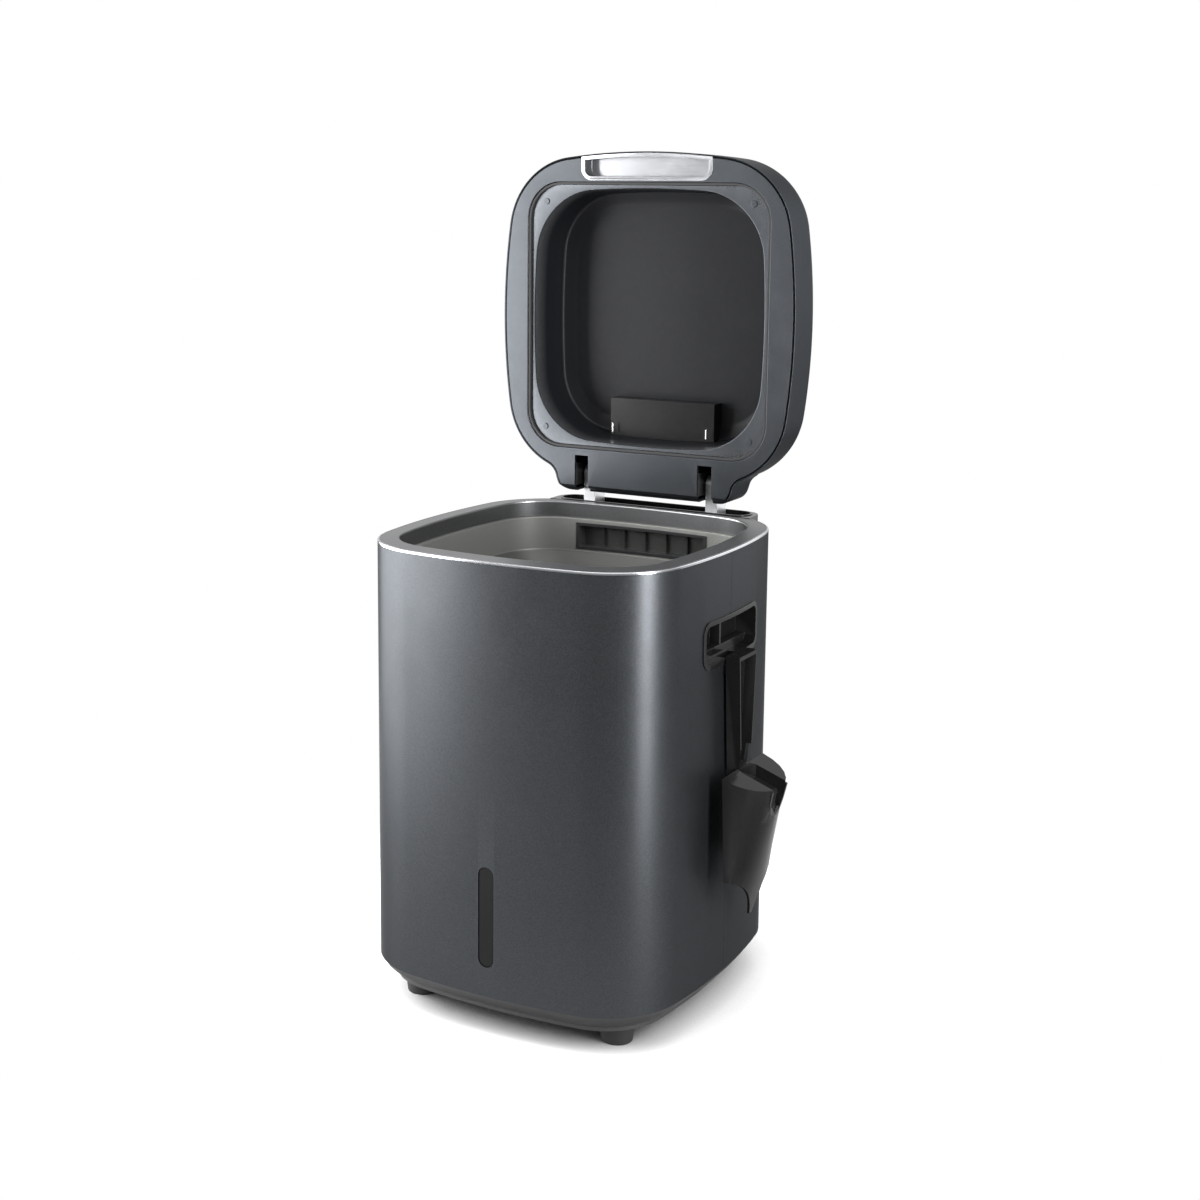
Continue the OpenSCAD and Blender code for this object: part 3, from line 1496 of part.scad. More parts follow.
module liner_screws() {
    color("#9a9da0") lid_pose() liner_screw_places() translate([0, 0, liner_z - 1]) {
        cylinder(h = 1, r = 2 * liner_screw_r);
        cylinder(h = 5, r = liner_screw_r);
    }
}

// Silver finger grip let into the front of the rim
grip_t = 1.8;
grip_r = 9;
grip_reach = 40;
grip_flange = 0.6;
grip_back = groove_hy + rim_wall + 1.2;
module grip_plan(grow) {
    intersection() {
        translate([0, -grip_back - grip_reach])
            polygon(rounded(grip_w / 2 + grow, grip_reach + grow, grip_r + grow));
        polygon(plan(lid_t + 0.5 - grow));
    }
}

module grip_cut(grow) {
    between(lid_z - 5, lid_z + rim_t + eps) grip_plan(grow);
}

module lid_grip() {
    color("#e2e4e6") lid_pose() difference() {
        union() {
            between(lid_z - grip_flange, lid_z) grip_plan(grip_t);
            between(lid_z - grip_flange, lid_z + grip_d) grip_plan(0);
        }
        between(lid_z - 1, lid_z + grip_d - grip_t) grip_plan(-grip_t);
    }
}

// Sensor box on the liner near the hinge
sensor_hx = 54.5;
// Depth of the sensor box, and its gap to the tub's wall
sensor_d = 37;
sensor_in = 3;
sensor_y1 = cavity_hy - sensor_in;
sensor_y0 = sensor_y1 - sensor_d;
sensor_h = 17;
module odour_sensor() {
    color("#202224") lid_pose() intersection() {
        box([-sensor_hx, sensor_y0, ceiling_z - sensor_h], [sensor_hx, sensor_y1, ceiling_z + 1]);
        liner_tub(-0.1);
    }
}

sensor_pin_h = 6;
sensor_pin_r = 1.4;
module sensor_pins() {
    color("white") lid_pose() for (s = [-1, 1])
        translate([s * (sensor_hx - 5), sensor_y1 - 6, ceiling_z - sensor_h - sensor_pin_h])
            cylinder(h = sensor_pin_h, r = sensor_pin_r);
}

// Blocks that hold the hinge pins inside the tongue
carrier_t = 10;
// How far a carrier reaches in front of the hinge axis and behind it
carrier_fore = 12;
carrier_aft = 10;
carrier_y0 = hinge_y - carrier_fore;
carrier_y1 = hinge_y + carrier_aft;
carrier_gap = arm_w / 2 + arm_clear + 0.2;
module hinge_carrier() {
    color("#26282a") lid_pose() difference() {
        for (s = [-1, 1], d = [-1, 1]) translate([s * arm_x + d * (carrier_gap + carrier_t / 2), 0, 0])
            box([-carrier_t / 2, carrier_y0, lid_z + rim_t],
                [carrier_t / 2, carrier_y1, lid_z + tongue_h - tongue_bevel_h - lid_t - 0.5]);
        bar_x(-half_w, half_w, hinge_pin_r, hinge_y, hinge_z);
    }
}

module hinge_pins() {
    half = carrier_gap + carrier_t;
    color("silver") lid_pose() for (s = [-1, 1])
        bar_x(s * arm_x - half, s * arm_x + half, hinge_pin_r, hinge_y, hinge_z);
}

damper_len = 26;
damper_r = 8;
module hinge_dampers() {
    start = arm_x - carrier_gap - carrier_t;
    mid = start - damper_len / 2;
    color("#3c3f42") lid_pose() for (s = [-1, 1])
        bar_x(s * mid - damper_len / 2, s * mid + damper_len / 2, damper_r, hinge_y, hinge_z);
}

base_tray();
rubber_feet();
foot_screws();
front_casing();
rear_casing();
back_housing();
casing_screws();
trim_ring();
top_deck();
indicator_window();
indicator_board();
carry_recess_right();
carry_recess_left();
tank_collar();
tank();
tank_cradle();
heater_mat();
shaft_bushes();
exhaust_frame();
exhaust_mesh();
exhaust_duct();
blower_housing();
blower_motor();
filter_sleeve();
gear_bracket();
gearbox();
drive_motor();
idler_pin();
control_board();
power_inlet();
hinge_tray();
hinge_arms();
hinge_screws();
stirring_shaft();
stirring_arms();
driven_gear();
idler_gear();
motor_pinion();
blower_wheel();
filter_drawer();
carbon_pack();
power_rocker();
scoop();
scoop_hook();
lid_shell();
lid_rim();
lid_gasket();
lid_liner();
liner_screws();
lid_grip();
odour_sensor();
sensor_pins();
hinge_carrier();
hinge_pins();
hinge_dampers();
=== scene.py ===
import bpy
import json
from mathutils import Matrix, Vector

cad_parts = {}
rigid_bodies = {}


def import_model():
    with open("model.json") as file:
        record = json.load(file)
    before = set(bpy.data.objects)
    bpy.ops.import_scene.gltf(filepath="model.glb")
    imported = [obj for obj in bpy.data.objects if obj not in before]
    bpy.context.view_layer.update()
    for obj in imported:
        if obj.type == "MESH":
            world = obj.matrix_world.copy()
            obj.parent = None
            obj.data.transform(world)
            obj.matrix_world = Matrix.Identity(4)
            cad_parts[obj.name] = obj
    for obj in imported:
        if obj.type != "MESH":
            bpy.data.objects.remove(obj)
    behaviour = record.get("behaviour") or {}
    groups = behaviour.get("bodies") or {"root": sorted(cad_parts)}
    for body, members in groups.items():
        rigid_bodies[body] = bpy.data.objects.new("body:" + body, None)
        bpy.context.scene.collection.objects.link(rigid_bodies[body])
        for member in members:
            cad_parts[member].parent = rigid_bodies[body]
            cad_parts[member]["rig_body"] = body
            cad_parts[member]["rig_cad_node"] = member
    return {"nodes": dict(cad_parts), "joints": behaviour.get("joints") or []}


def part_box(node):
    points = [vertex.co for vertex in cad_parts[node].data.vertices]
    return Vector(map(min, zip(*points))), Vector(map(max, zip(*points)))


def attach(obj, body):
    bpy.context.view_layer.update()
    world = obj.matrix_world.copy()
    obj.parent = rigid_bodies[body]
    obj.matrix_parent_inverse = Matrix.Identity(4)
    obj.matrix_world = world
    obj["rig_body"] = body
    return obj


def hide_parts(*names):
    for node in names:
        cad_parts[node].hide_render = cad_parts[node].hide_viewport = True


bl_info = {
    "name": "Food waste composter",
    "version": (1, 0, 0),
    "blender": (4, 5, 0),
    "location": "3D View > Sidebar > Composter",
    "description": "Models the panels, lid and scoop of a composter over its packed frame, and lights it",
    "category": "Object",
}

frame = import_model()

import json
import math

import bmesh
import bpy
from bpy.props import FloatProperty, FloatVectorProperty, IntProperty, PointerProperty
from mathutils import Matrix, Vector

MM = 0.001
NODES = frame["nodes"]
JOINTS = {j["name"]: j for j in frame["joints"]}
HINGE = Vector(JOINTS["lid_hinge"]["pos_m"])
CASING_LOW, CASING_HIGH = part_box("front_casing")
TRIM_LOW, TRIM_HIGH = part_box("trim_ring")
DECK_LOW, DECK_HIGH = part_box("top_deck")
COLLAR_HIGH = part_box("tank_collar")[1]
LID_RISE = 25 * MM
LID_Z = HINGE.z - LID_RISE
OPEN_LID = Matrix.Translation(HINGE) @ Matrix.Rotation(-math.pi / 2, 4, "X") @ Matrix.Translation(-HINGE)

# Room of the hinge tray in the trim ring and the deck, in millimetres
HINGE_ROOM = (-105.3, 138.9, 380), (105.3, 192, 440)


# Sizes and colours that a user would change

class ComposterSizes(bpy.types.PropertyGroup):
    half_width: FloatProperty(
        name="Half width", description="Half the width of the body over its bowed sides",
        default=-CASING_LOW.x, min=0.1, max=0.3, unit="LENGTH")
    half_depth: FloatProperty(
        name="Half depth", description="Half the depth of the body over its bowed front and back",
        default=-CASING_LOW.y, min=0.1, max=0.3, unit="LENGTH")
    side_bow: FloatProperty(
        name="Side bow", description="Radius of the bow in each side",
        default=619 * MM, min=0.4, max=2.0, unit="LENGTH")
    corner: FloatProperty(
        name="Corner radius", description="Radius of the upright corners",
        default=72.5 * MM, min=0.02, max=0.1, unit="LENGTH")
    wall: FloatProperty(
        name="Casing wall", description="Thickness of the painted casings",
        default=2.5 * MM, min=0.001, max=0.004, unit="LENGTH")
    stations: IntProperty(
        name="Stations", description="Points round the body plan",
        default=480, min=96, max=960)


class ComposterColours(bpy.types.PropertyGroup):
    casing: FloatVectorProperty(
        name="Casing", description="Metallic paint of the casings", subtype="COLOR", size=3,
        default=(0.046, 0.0490, 0.0530), min=0, max=1)
    lid: FloatVectorProperty(
        name="Lid", description="Satin finish of the lid's rim and shell", subtype="COLOR", size=3,
        default=(0.043, 0.0465, 0.0515), min=0, max=1)
    tub: FloatVectorProperty(
        name="Inner tub", description="Dark satin tub inside the lid", subtype="COLOR", size=3,
        default=(0.0080, 0.0085, 0.0100), min=0, max=1)
    silver: FloatVectorProperty(
        name="Silver", description="Silver trim, finger grip and hinge arms", subtype="COLOR", size=3,
        default=(0.34, 0.345, 0.36), min=0, max=1)
    tank: FloatVectorProperty(
        name="Tank", description="Brushed wall of the tank", subtype="COLOR", size=3,
        default=(0.195, 0.198, 0.187), min=0, max=1)
    black: FloatVectorProperty(
        name="Black", description="Moulded black parts", subtype="COLOR", size=3,
        default=(0.014, 0.014, 0.015), min=0, max=1)


def sizes():
    return bpy.context.scene.composter_sizes


def colours():
    return bpy.context.scene.composter_colours


# Effects that several finishes share, each a node group on the object's own coordinates

class Sheet:
    """Adds and joins the nodes of a material or a group."""

    def __init__(self, tree):
        self.tree = tree

    def add(self, kind, label=None, **settings):
        node = self.tree.nodes.new(kind)
        if label:
            node.label = label
        for key, value in settings.items():
            setattr(node, key, value)
        return node

    def feed(self, node, **values):
        for key, value in values.items():
            socket = node.inputs[int(key[1:])] if key[0] == "_" else node.inputs[key.replace("_", " ")]
            if isinstance(value, bpy.types.NodeSocket):
                self.link(value, socket)
            else:
                socket.default_value = value
        return node

    def link(self, source, target):
        self.tree.links.new(source, target)

    def math(self, operation, a, b=0.0, clamp=False):
        node = self.add("ShaderNodeMath", operation=operation, use_clamp=clamp)
        self.feed(node, _0=a, _1=b)
        return node.outputs[0]

    def noise(self, vector, scale, detail=2.0, rough=0.5):
        node = self.add("ShaderNodeTexNoise")
        self.feed(node, Vector=vector, Scale=scale, Detail=detail, Roughness=rough)
        return node.outputs["Fac"]

    def spread(self, value, low, high, start=0.0, end=1.0, smooth=False):
        """Moves a value from the range start to end into the range low to high."""
        node = self.add("ShaderNodeMapRange", interpolation_type="SMOOTHSTEP" if smooth else "LINEAR")
        self.feed(node, Value=value, From_Min=start, From_Max=end, To_Min=low, To_Max=high)
        return node.outputs[0]

    def place(self):
        return self.add("ShaderNodeTexCoord").outputs["Object"]


def effect(name, inputs, outputs):
    """Empty node group with float inputs (label, default, low, high) and float outputs."""
    tree = bpy.data.node_groups.new(name, "ShaderNodeTree")
    for label, default, low, high in inputs:
        socket = tree.interface.new_socket(label, in_out="INPUT", socket_type="NodeSocketFloat")
        socket.default_value, socket.min_value, socket.max_value = default, low, high
    for label in outputs:
        tree.interface.new_socket(label, in_out="OUTPUT", socket_type="NodeSocketFloat")
    return Sheet(tree), tree.nodes.new("NodeGroupInput"), tree.nodes.new("NodeGroupOutput")


def flake_effect():
    """Metal flakes in paint: each flake has its own shade and tilt."""
    s, given, out = effect("Paint flakes", [("Size", 0.5, 0.05, 5), ("Orange peel", 1.0, 0, 4)],
                           ["Shade", "Height"])
    place = s.place()
    per_metre = s.math("DIVIDE", 1000.0, given.outputs["Size"])
    cells = s.feed(s.add("ShaderNodeTexVoronoi"), Vector=place, Scale=per_metre)
    bright = s.feed(s.add("ShaderNodeSeparateColor"), Color=cells.outputs["Color"])
    peel = s.noise(place, 320.0, 2.0)
    s.link(bright.outputs[0], out.inputs["Shade"])
    high = s.math("MULTIPLY", peel, given.outputs["Orange peel"])
    s.link(s.math("ADD", high, s.math("MULTIPLY", bright.outputs[1], 0.12)), out.inputs["Height"])
    return s.tree


def grain_effect():
    """Fine spark-eroded grain of a moulded surface."""
    s, given, out = effect("Moulded grain", [("Size", 1.0, 0.1, 10), ("Blotch", 0.5, 0, 1)],
                           ["Shade", "Height"])
    place = s.place()
    per_metre = s.math("DIVIDE", 1000.0, given.outputs["Size"])
    pebbles = s.feed(s.add("ShaderNodeTexVoronoi", feature="SMOOTH_F1"), Vector=place, Scale=per_metre,
                     Smoothness=0.6)
    fine = s.noise(place, s.math("MULTIPLY", per_metre, 2.3), 3.0, 0.6)
    cloud = s.noise(place, 14.0, 3.0, 0.55)
    coarse = s.math("MULTIPLY", pebbles.outputs["Distance"], 0.7)
    s.link(s.math("ADD", coarse, s.math("MULTIPLY", fine, 0.5)), out.inputs["Height"])
    mix = s.feed(s.add("ShaderNodeMix", data_type="FLOAT"), _0=given.outputs["Blotch"], _2=fine, _3=cloud)
    s.link(mix.outputs[0], out.inputs["Shade"])
    return s.tree


def brush_effect():
    """Long fine scratches left by a brush; each stretch says how fast they change along its axis."""
    axes = ("Across X", "Across Y", "Across Z")
    s, given, out = effect("Brushing", [(axis, 1, 0, 50) for axis in axes], ["Shade", "Height"])
    stretch = s.feed(s.add("ShaderNodeCombineXYZ"), **{axis[-1]: given.outputs[axis] for axis in axes})
    turned = s.feed(s.add("ShaderNodeVectorMath", operation="MULTIPLY"), _0=s.place(), _1=stretch.outputs[0])
    wide = s.noise(turned.outputs[0], 90.0, 4.0, 0.65)
    fine = s.noise(turned.outputs[0], 420.0, 2.0, 0.6)
    both = s.math("ADD", s.math("MULTIPLY", wide, 0.55), s.math("MULTIPLY", fine, 0.45))
    s.link(both, out.inputs["Shade"])
    s.link(both, out.inputs["Height"])
    return s.tree


def edge_highlight_and_wear_effect():
    """Polished edges with a painted highlight along them, and faint hand marks; the edge share is stored on
    each piece's points.
    """
    s, given, out = effect("Handling wear", [("Mark size", 40, 1, 400), ("Patchy", 0.5, 0, 1)],
                           ["Edge", "Marks"])
    edge = s.add("ShaderNodeAttribute", attribute_name="edge_share")
    patches = s.noise(s.place(), 160.0, 3.0, 0.6)
    patchy = s.feed(s.add("ShaderNodeMix", data_type="FLOAT"), _0=given.outputs["Patchy"], _2=1.0, _3=patches)
    s.link(s.math("MULTIPLY", edge.outputs["Fac"], patchy.outputs[0], True), out.inputs["Edge"])
    smear = s.noise(s.place(), s.math("DIVIDE", 1000.0, given.outputs["Mark size"]), 5.0, 0.62)
    s.link(s.spread(smear, 0.0, 1.0, 0.42, 0.68, smooth=True), out.inputs["Marks"])
    return s.tree


EFFECTS = {}
FINISHES = {}


def effects():
    """The four shared effects, built the first time that a finish asks for them."""
    if not EFFECTS:
        EFFECTS.update(flakes=flake_effect(), grain=grain_effect(), brush=brush_effect(), wear=edge_highlight_and_wear_effect())
    return EFFECTS


def finish(name, colour, rough, pattern, contrast, depth, metal=0.0, coat=0.0, coat_rough=0.1,
           ior=1.5, rim=1.0, edge_wear_highlight=0.25, edge_rough=-0.1, marks=0.05, size=1.0, across=(1, 1, 1),
           painted_depth_shade=None):
    """Principled material: a pattern shades the colour and lifts the surface, wear changes its gloss, and a
    painted highlight with polished wear lightens its sharp edges.
    """
    made = bpy.data.materials.new(name)
    made.use_nodes = True
    s = Sheet(made.node_tree)
    shader = made.node_tree.nodes["Principled BSDF"]
    s.feed(shader, Metallic=metal, IOR=ior, Specular_Tint=(rim, rim, rim, 1), Coat_Weight=coat,
           Coat_Roughness=coat_rough)
    pat = s.add("ShaderNodeGroup", label=pattern)
    pat.node_tree = effects()[pattern]
    if pattern == "brush":
        s.feed(pat, Across_X=across[0], Across_Y=across[1], Across_Z=across[2])
    else:
        s.feed(pat, Size=size)
    wear = s.add("ShaderNodeGroup", label="wear")
    wear.node_tree = effects()["wear"]
    strength = s.spread(pat.outputs["Shade"], 1 - contrast, 1 + contrast)
    # Painted shade: the colour darkens towards the bottom of the piece, from the end height down to the start
    # height.
    if painted_depth_shade:
        start, end, darkest = painted_depth_shade
        level = s.feed(s.add("ShaderNodeSeparateXYZ"), Vector=s.place())
        dark = s.spread(level.outputs["Z"], darkest, 1.0, start, end, smooth=True)
        strength = s.math("MULTIPLY", strength, dark)
    tint = s.feed(s.add("ShaderNodeVectorMath", operation="SCALE"), _0=tuple(colour), Scale=strength)
    # Polished wear and painted highlight: the colour turns lighter on sharp edges, as far as the edge wear
    # highlight says.
    light = s.add("ShaderNodeMix", data_type="RGBA")
    s.feed(light, _0=s.math("MULTIPLY", wear.outputs["Edge"], edge_wear_highlight),
           _6=tint.outputs[0], _7=tuple(min(1.0, c * 2.2 + 0.04) for c in colour) + (1.0,))
    s.link(light.outputs[2], shader.inputs["Base Color"])
    gloss = s.math("ADD", s.math("MULTIPLY", wear.outputs["Edge"], edge_rough),
                   s.math("MULTIPLY", wear.outputs["Marks"], marks))
    base = s.spread(pat.outputs["Shade"], rough * (1 - contrast * 0.5), rough * (1 + contrast * 0.5))
    s.link(s.math("ADD", base, gloss, True), shader.inputs["Roughness"])
    if depth:
        bump = s.feed(s.add("ShaderNodeBump"), Strength=min(1.0, depth), Distance=0.0002,
                      Height=pat.outputs["Height"])
        s.link(bump.outputs[0], shader.inputs["Normal"])
    return made


# Colour or its property's name, roughness, pattern, contrast, depth, and what differs from the plain finish
# Edge wear highlights lighten sharp edges, partly as polished wear and partly as painted highlight; the high
# ones on the rim, tub, sensor box and scoop paint highlight lines.
RECIPES = {
    "casing paint": ("casing", 0.36, "flakes", 0.22, 0.05,
        dict(metal=0.88, ior=1.3, rim=0.45, size=0.45, marks=0.03)),
    "lid paint": ("lid", 0.38, "flakes", 0.2, 0.05,
        dict(metal=0.88, ior=1.3, rim=0.4, size=0.45, marks=0.03)),
    "rim satin": ("lid", 0.34, "flakes", 0.12, 0.04,
        dict(metal=0.88, ior=1.3, rim=0.45, size=0.4, edge_wear_highlight=0.7)),
    "tub satin": ("tub", 0.33, "grain", 0.1, 0.12, dict(size=0.8, ior=1.2, edge_wear_highlight=1.0)),
    "black base": ("black", 0.55, "grain", 0.2, 0.35, dict(size=0.9, edge_wear_highlight=0.35)),
    "black gloss": ((0.004, 0.004, 0.004), 0.2, "grain", 0.08, 0.03,
        dict(size=1.6, ior=1.25, edge_wear_highlight=0.4, marks=0.05)),
    "black satin": ("black", 0.36, "grain", 0.12, 0.16, dict(size=0.8, ior=1.35, edge_wear_highlight=0.5)),
    "sensor black": ((0.004, 0.004, 0.0045), 0.22, "grain", 0.1, 0.05,
        dict(size=1.2, ior=1.28, edge_wear_highlight=1.0)),
    "scoop black": ((0.004, 0.004, 0.004), 0.17, "grain", 0.1, 0.02,
        dict(size=1.4, ior=1.2, edge_wear_highlight=0.6, marks=0.04)),
    "silver trim": ("silver", 0.24, "brush", 0.05, 0.05,
        dict(metal=1.0, across=(2, 2, 40), edge_wear_highlight=0.5, marks=0.04)),
    "grip silver": ((0.25, 0.255, 0.265), 0.25, "brush", 0.18, 0.12,
        dict(metal=1.0, across=(0.6, 40, 12), edge_wear_highlight=0.6, marks=0.04)),
    "deck silver": ((0.3, 0.303, 0.31), 0.3, "flakes", 0.06, 0.01,
        dict(metal=0.9, ior=1.3, rim=0.5, size=0.5, edge_wear_highlight=0.0, edge_rough=0.0, marks=0.02)),
    # Painted shade: darker copy of the deck silver for the upright wall round the opening, standing in for
    # its darker reflections.
    "deck wall": ((0.19, 0.193, 0.198), 0.3, "flakes", 0.05, 0.002,
        dict(metal=0.9, ior=1.3, rim=0.5, size=1.5, edge_wear_highlight=0.0, edge_rough=0.0, marks=0.02)),
    "smoked window": ((0.006, 0.006, 0.0065), 0.3, "grain", 0.05, 0.02,
        dict(size=3.0, ior=1.25, edge_wear_highlight=0.2)),
    # Painted shade: the tank's colour darkens towards its bottom, standing in for the shade low inside the
    # body.
    "tank metal": ("tank", 0.46, "brush", 0.12, 0.1,
        dict(metal=0.45, ior=1.3, rim=0.6, across=(1.5, 1.5, 30), marks=0.08,
             painted_depth_shade=(0.335, 0.372, 0.45))),
    # Painted shade: darker copy of the tank metal for the shoulder's upward faces, which catch the top lamp.
    "tank shoulder": ((0.085, 0.086, 0.082), 0.46, "brush", 0.08, 0.08,
        dict(metal=0.45, ior=1.3, rim=0.5, across=(1.5, 1.5, 30), marks=0.05)),
    "mesh grey": ((0.038, 0.04, 0.037), 0.45, "grain", 0.25, 0.5, dict(metal=0.4, size=0.7)),
    "rubber": ((0.013, 0.013, 0.014), 0.68, "grain", 0.2, 0.4,
        dict(size=0.7, edge_wear_highlight=0.15, edge_rough=0.05)),
    "steel": ((0.5, 0.5, 0.49), 0.3, "brush", 0.1, 0.1, dict(metal=1.0, across=(40, 3, 3))),
    "cast silver": ((0.55, 0.56, 0.57), 0.34, "grain", 0.08, 0.2, dict(metal=0.9, size=0.9, edge_wear_highlight=0.8)),
    "bright steel": ((0.72, 0.72, 0.71), 0.16, "brush", 0.06, 0.05,
        dict(metal=1.0, across=(3, 3, 20), edge_wear_highlight=0.4)),
    "gear nylon": ((0.52, 0.5, 0.43), 0.48, "grain", 0.08, 0.1, dict(size=1.2)),
    "board green": ((0.02, 0.13, 0.045), 0.35, "grain", 0.15, 0.2, dict(size=2.0, coat=0.4, coat_rough=0.15)),
    "heater orange": ((0.46, 0.13, 0.03), 0.5, "grain", 0.15, 0.3, dict(size=1.5)),
    "duct black": ((0.03, 0.031, 0.033), 0.5, "grain", 0.15, 0.3, dict(size=1.0)),
    "carbon": ((0.018, 0.018, 0.017), 0.75, "grain", 0.5, 1.0, dict(size=3.0, edge_wear_highlight=0.0)),
}


def material(kind):
    """The finish of a kind of piece, made the first time that a piece asks for it."""
    if kind not in FINISHES:
        colour, rough, pattern, contrast, depth, more = RECIPES[kind]
        if isinstance(colour, str):
            colour = getattr(colours(), colour)
        FINISHES[kind] = finish(kind, colour, rough, pattern, contrast, depth, **more)
    return FINISHES[kind]


# Outlines: distance from the middle for each station's direction

def hubs(hx, hy, bow, corner):
    """Middles of the side's bow, of the front's bow and of the corner that joins them."""
    side, front = Vector((hx - bow, 0)), Vector((0, hy - bow))
    apart = front - side
    off = math.sqrt((bow - corner) ** 2 - apart.length_squared / 4)
    return side, front, (side + front) / 2 + Vector((-apart.y, apart.x)).normalized() * off


def bowed(hx, hy, bow, corner):
    """Reach of a rounded plan with bowed sides, as a function of direction."""
    side, front, centre = hubs(hx, hy, bow, corner)
    to_corner = (centre - side).normalized()
    to_front = (centre - front).normalized()
    low = side + bow * to_corner
    high = front + bow * to_front
    limits = math.atan2(low.y, low.x), math.atan2(high.y, high.x)

    def reach(angle):
        c, s = abs(math.cos(angle)), abs(math.sin(angle))
        turn = math.atan2(s, c)
        if turn < limits[0]:
            hub, radius = side, bow
        elif turn < limits[1]:
            hub, radius = centre, corner
        else:
            hub, radius = front, bow
        along = c * hub.x + s * hub.y
        return along + math.sqrt(max(0.0, along ** 2 - hub.length_squared + radius ** 2))
    return reach


def rounded(hx, hy, radius):
    """Reach of a plain rounded rectangle, as a function of direction."""
    centre = Vector((hx - radius, hy - radius))
    limits = math.atan2(hy - radius, hx), math.atan2(hy, hx - radius)

    def reach(angle):
        c, s = abs(math.cos(angle)), abs(math.sin(angle))
        turn = math.atan2(s, c)
        if turn < limits[0]:
            return hx / c
        if turn > limits[1]:
            return hy / s
        along = c * centre.x + s * centre.y
        return along + math.sqrt(max(0.0, along ** 2 - centre.length_squared + radius ** 2))
    return reach


def plan(inset=0.0):
    """Reach of the body's plan, moved in by the inset."""
    z = sizes()
    return bowed(z.half_width - inset, z.half_depth - inset, z.side_bow - inset, z.corner - inset)


# Directions at which the plan's length is measured
FINE_TURNS = 20000


def stations():
    """Directions of the stations, evenly spaced along the body plan."""
    reach = plan()
    fine = [2 * math.pi * i / FINE_TURNS for i in range(FINE_TURNS + 1)]
    points = [Vector((reach(a) * math.cos(a), reach(a) * math.sin(a))) for a in fine]
    run = [0.0]
    for p, q in zip(points, points[1:]):
        run.append(run[-1] + (q - p).length)
    count = sizes().stations
    found, at = [], 0
    for i in range(count):
        goal = run[-1] * i / count
        while run[at + 1] < goal:
            at += 1
        share = (goal - run[at]) / (run[at + 1] - run[at])
        found.append(fine[at] + share * (fine[at + 1] - fine[at]))
    return found


# Modelling helpers

def deselect():
    if bpy.context.object and bpy.context.object.mode != "OBJECT":
        bpy.ops.object.mode_set(mode="OBJECT")
    bpy.ops.object.select_all(action="DESELECT")


def only(ob):
    deselect()
    ob.select_set(True)
    bpy.context.view_layer.objects.active = ob
    return ob


def edit(ob):
    """Edit mode on one object with nothing selected; gives its live mesh."""
    only(ob)
    bpy.ops.object.mode_set(mode="EDIT")
    bpy.ops.mesh.select_all(action="DESELECT")
    return bmesh.from_edit_mesh(ob.data)


def edit_all(ob):
    """Edit mode on one object with everything selected."""
    edit(ob)
    bpy.ops.mesh.select_all(action="SELECT")


def block(low, high):
    """Box between two corners, in millimetres, as a start or a cutter."""
    deselect()
    low, high = Vector(low) * MM, Vector(high) * MM
    bpy.ops.mesh.primitive_cube_add(size=1, location=(low + high) / 2, scale=high - low)
    ob = bpy.context.object
    bpy.ops.object.transform_apply()
    return ob


def pin(name, start, end, radius, end_radius):
    """Round tapered pin between two points, in millimetres."""
    deselect()
    a, b = Vector(start) * MM, Vector(end) * MM
    axis = b - a
    bpy.ops.mesh.primitive_cone_add(vertices=16, radius1=radius * MM, radius2=end_radius * MM,
                                    depth=axis.length, location=(a + b) / 2)
    ob = bpy.context.object
    ob.name = name
    ob.rotation_euler = axis.to_track_quat("Z", "Y").to_euler()
    bpy.ops.object.transform_apply()
    return ob


def apply(ob, kind, **settings):
    """Adds one modifier and applies it."""
    only(ob)
    m = ob.modifiers.new(kind.title(), kind)
    for key, value in settings.items():
        setattr(m, key, value)
    bpy.ops.object.modifier_apply(modifier=m.name)
    return ob


def cut(ob, *cutters):
    """Takes each cutter's room out of a piece."""
    for cutter in cutters:
        apply(ob, "BOOLEAN", operation="DIFFERENCE", solver="EXACT", object=cutter)
        bpy.data.objects.remove(cutter)
    return ob


def join_to(ob, *others):
    """Grows a piece by the room of others."""
    for other in others:
        apply(ob, "BOOLEAN", operation="UNION", solver="EXACT", object=other)
        bpy.data.objects.remove(other)
    return ob


def round_edges(ob, width, test, segments=4):
    """Rounds the edges that the test picks, in edit mode."""
    bm = edit(ob)
    for e in bm.edges:
        if test(e):
            e.select_set(True)
    bmesh.update_edit_mesh(ob.data)
    bpy.ops.mesh.bevel(offset=width * MM, segments=segments, affect="EDGES", clamp_overlap=True)
    deselect()
    return ob


def along(axis):
    """Test for edges that run along an axis."""
    def test(e):
        d = e.verts[1].co - e.verts[0].co
        return d.length > 1e-6 and abs(d[axis]) > 0.999 * d.length
    return test


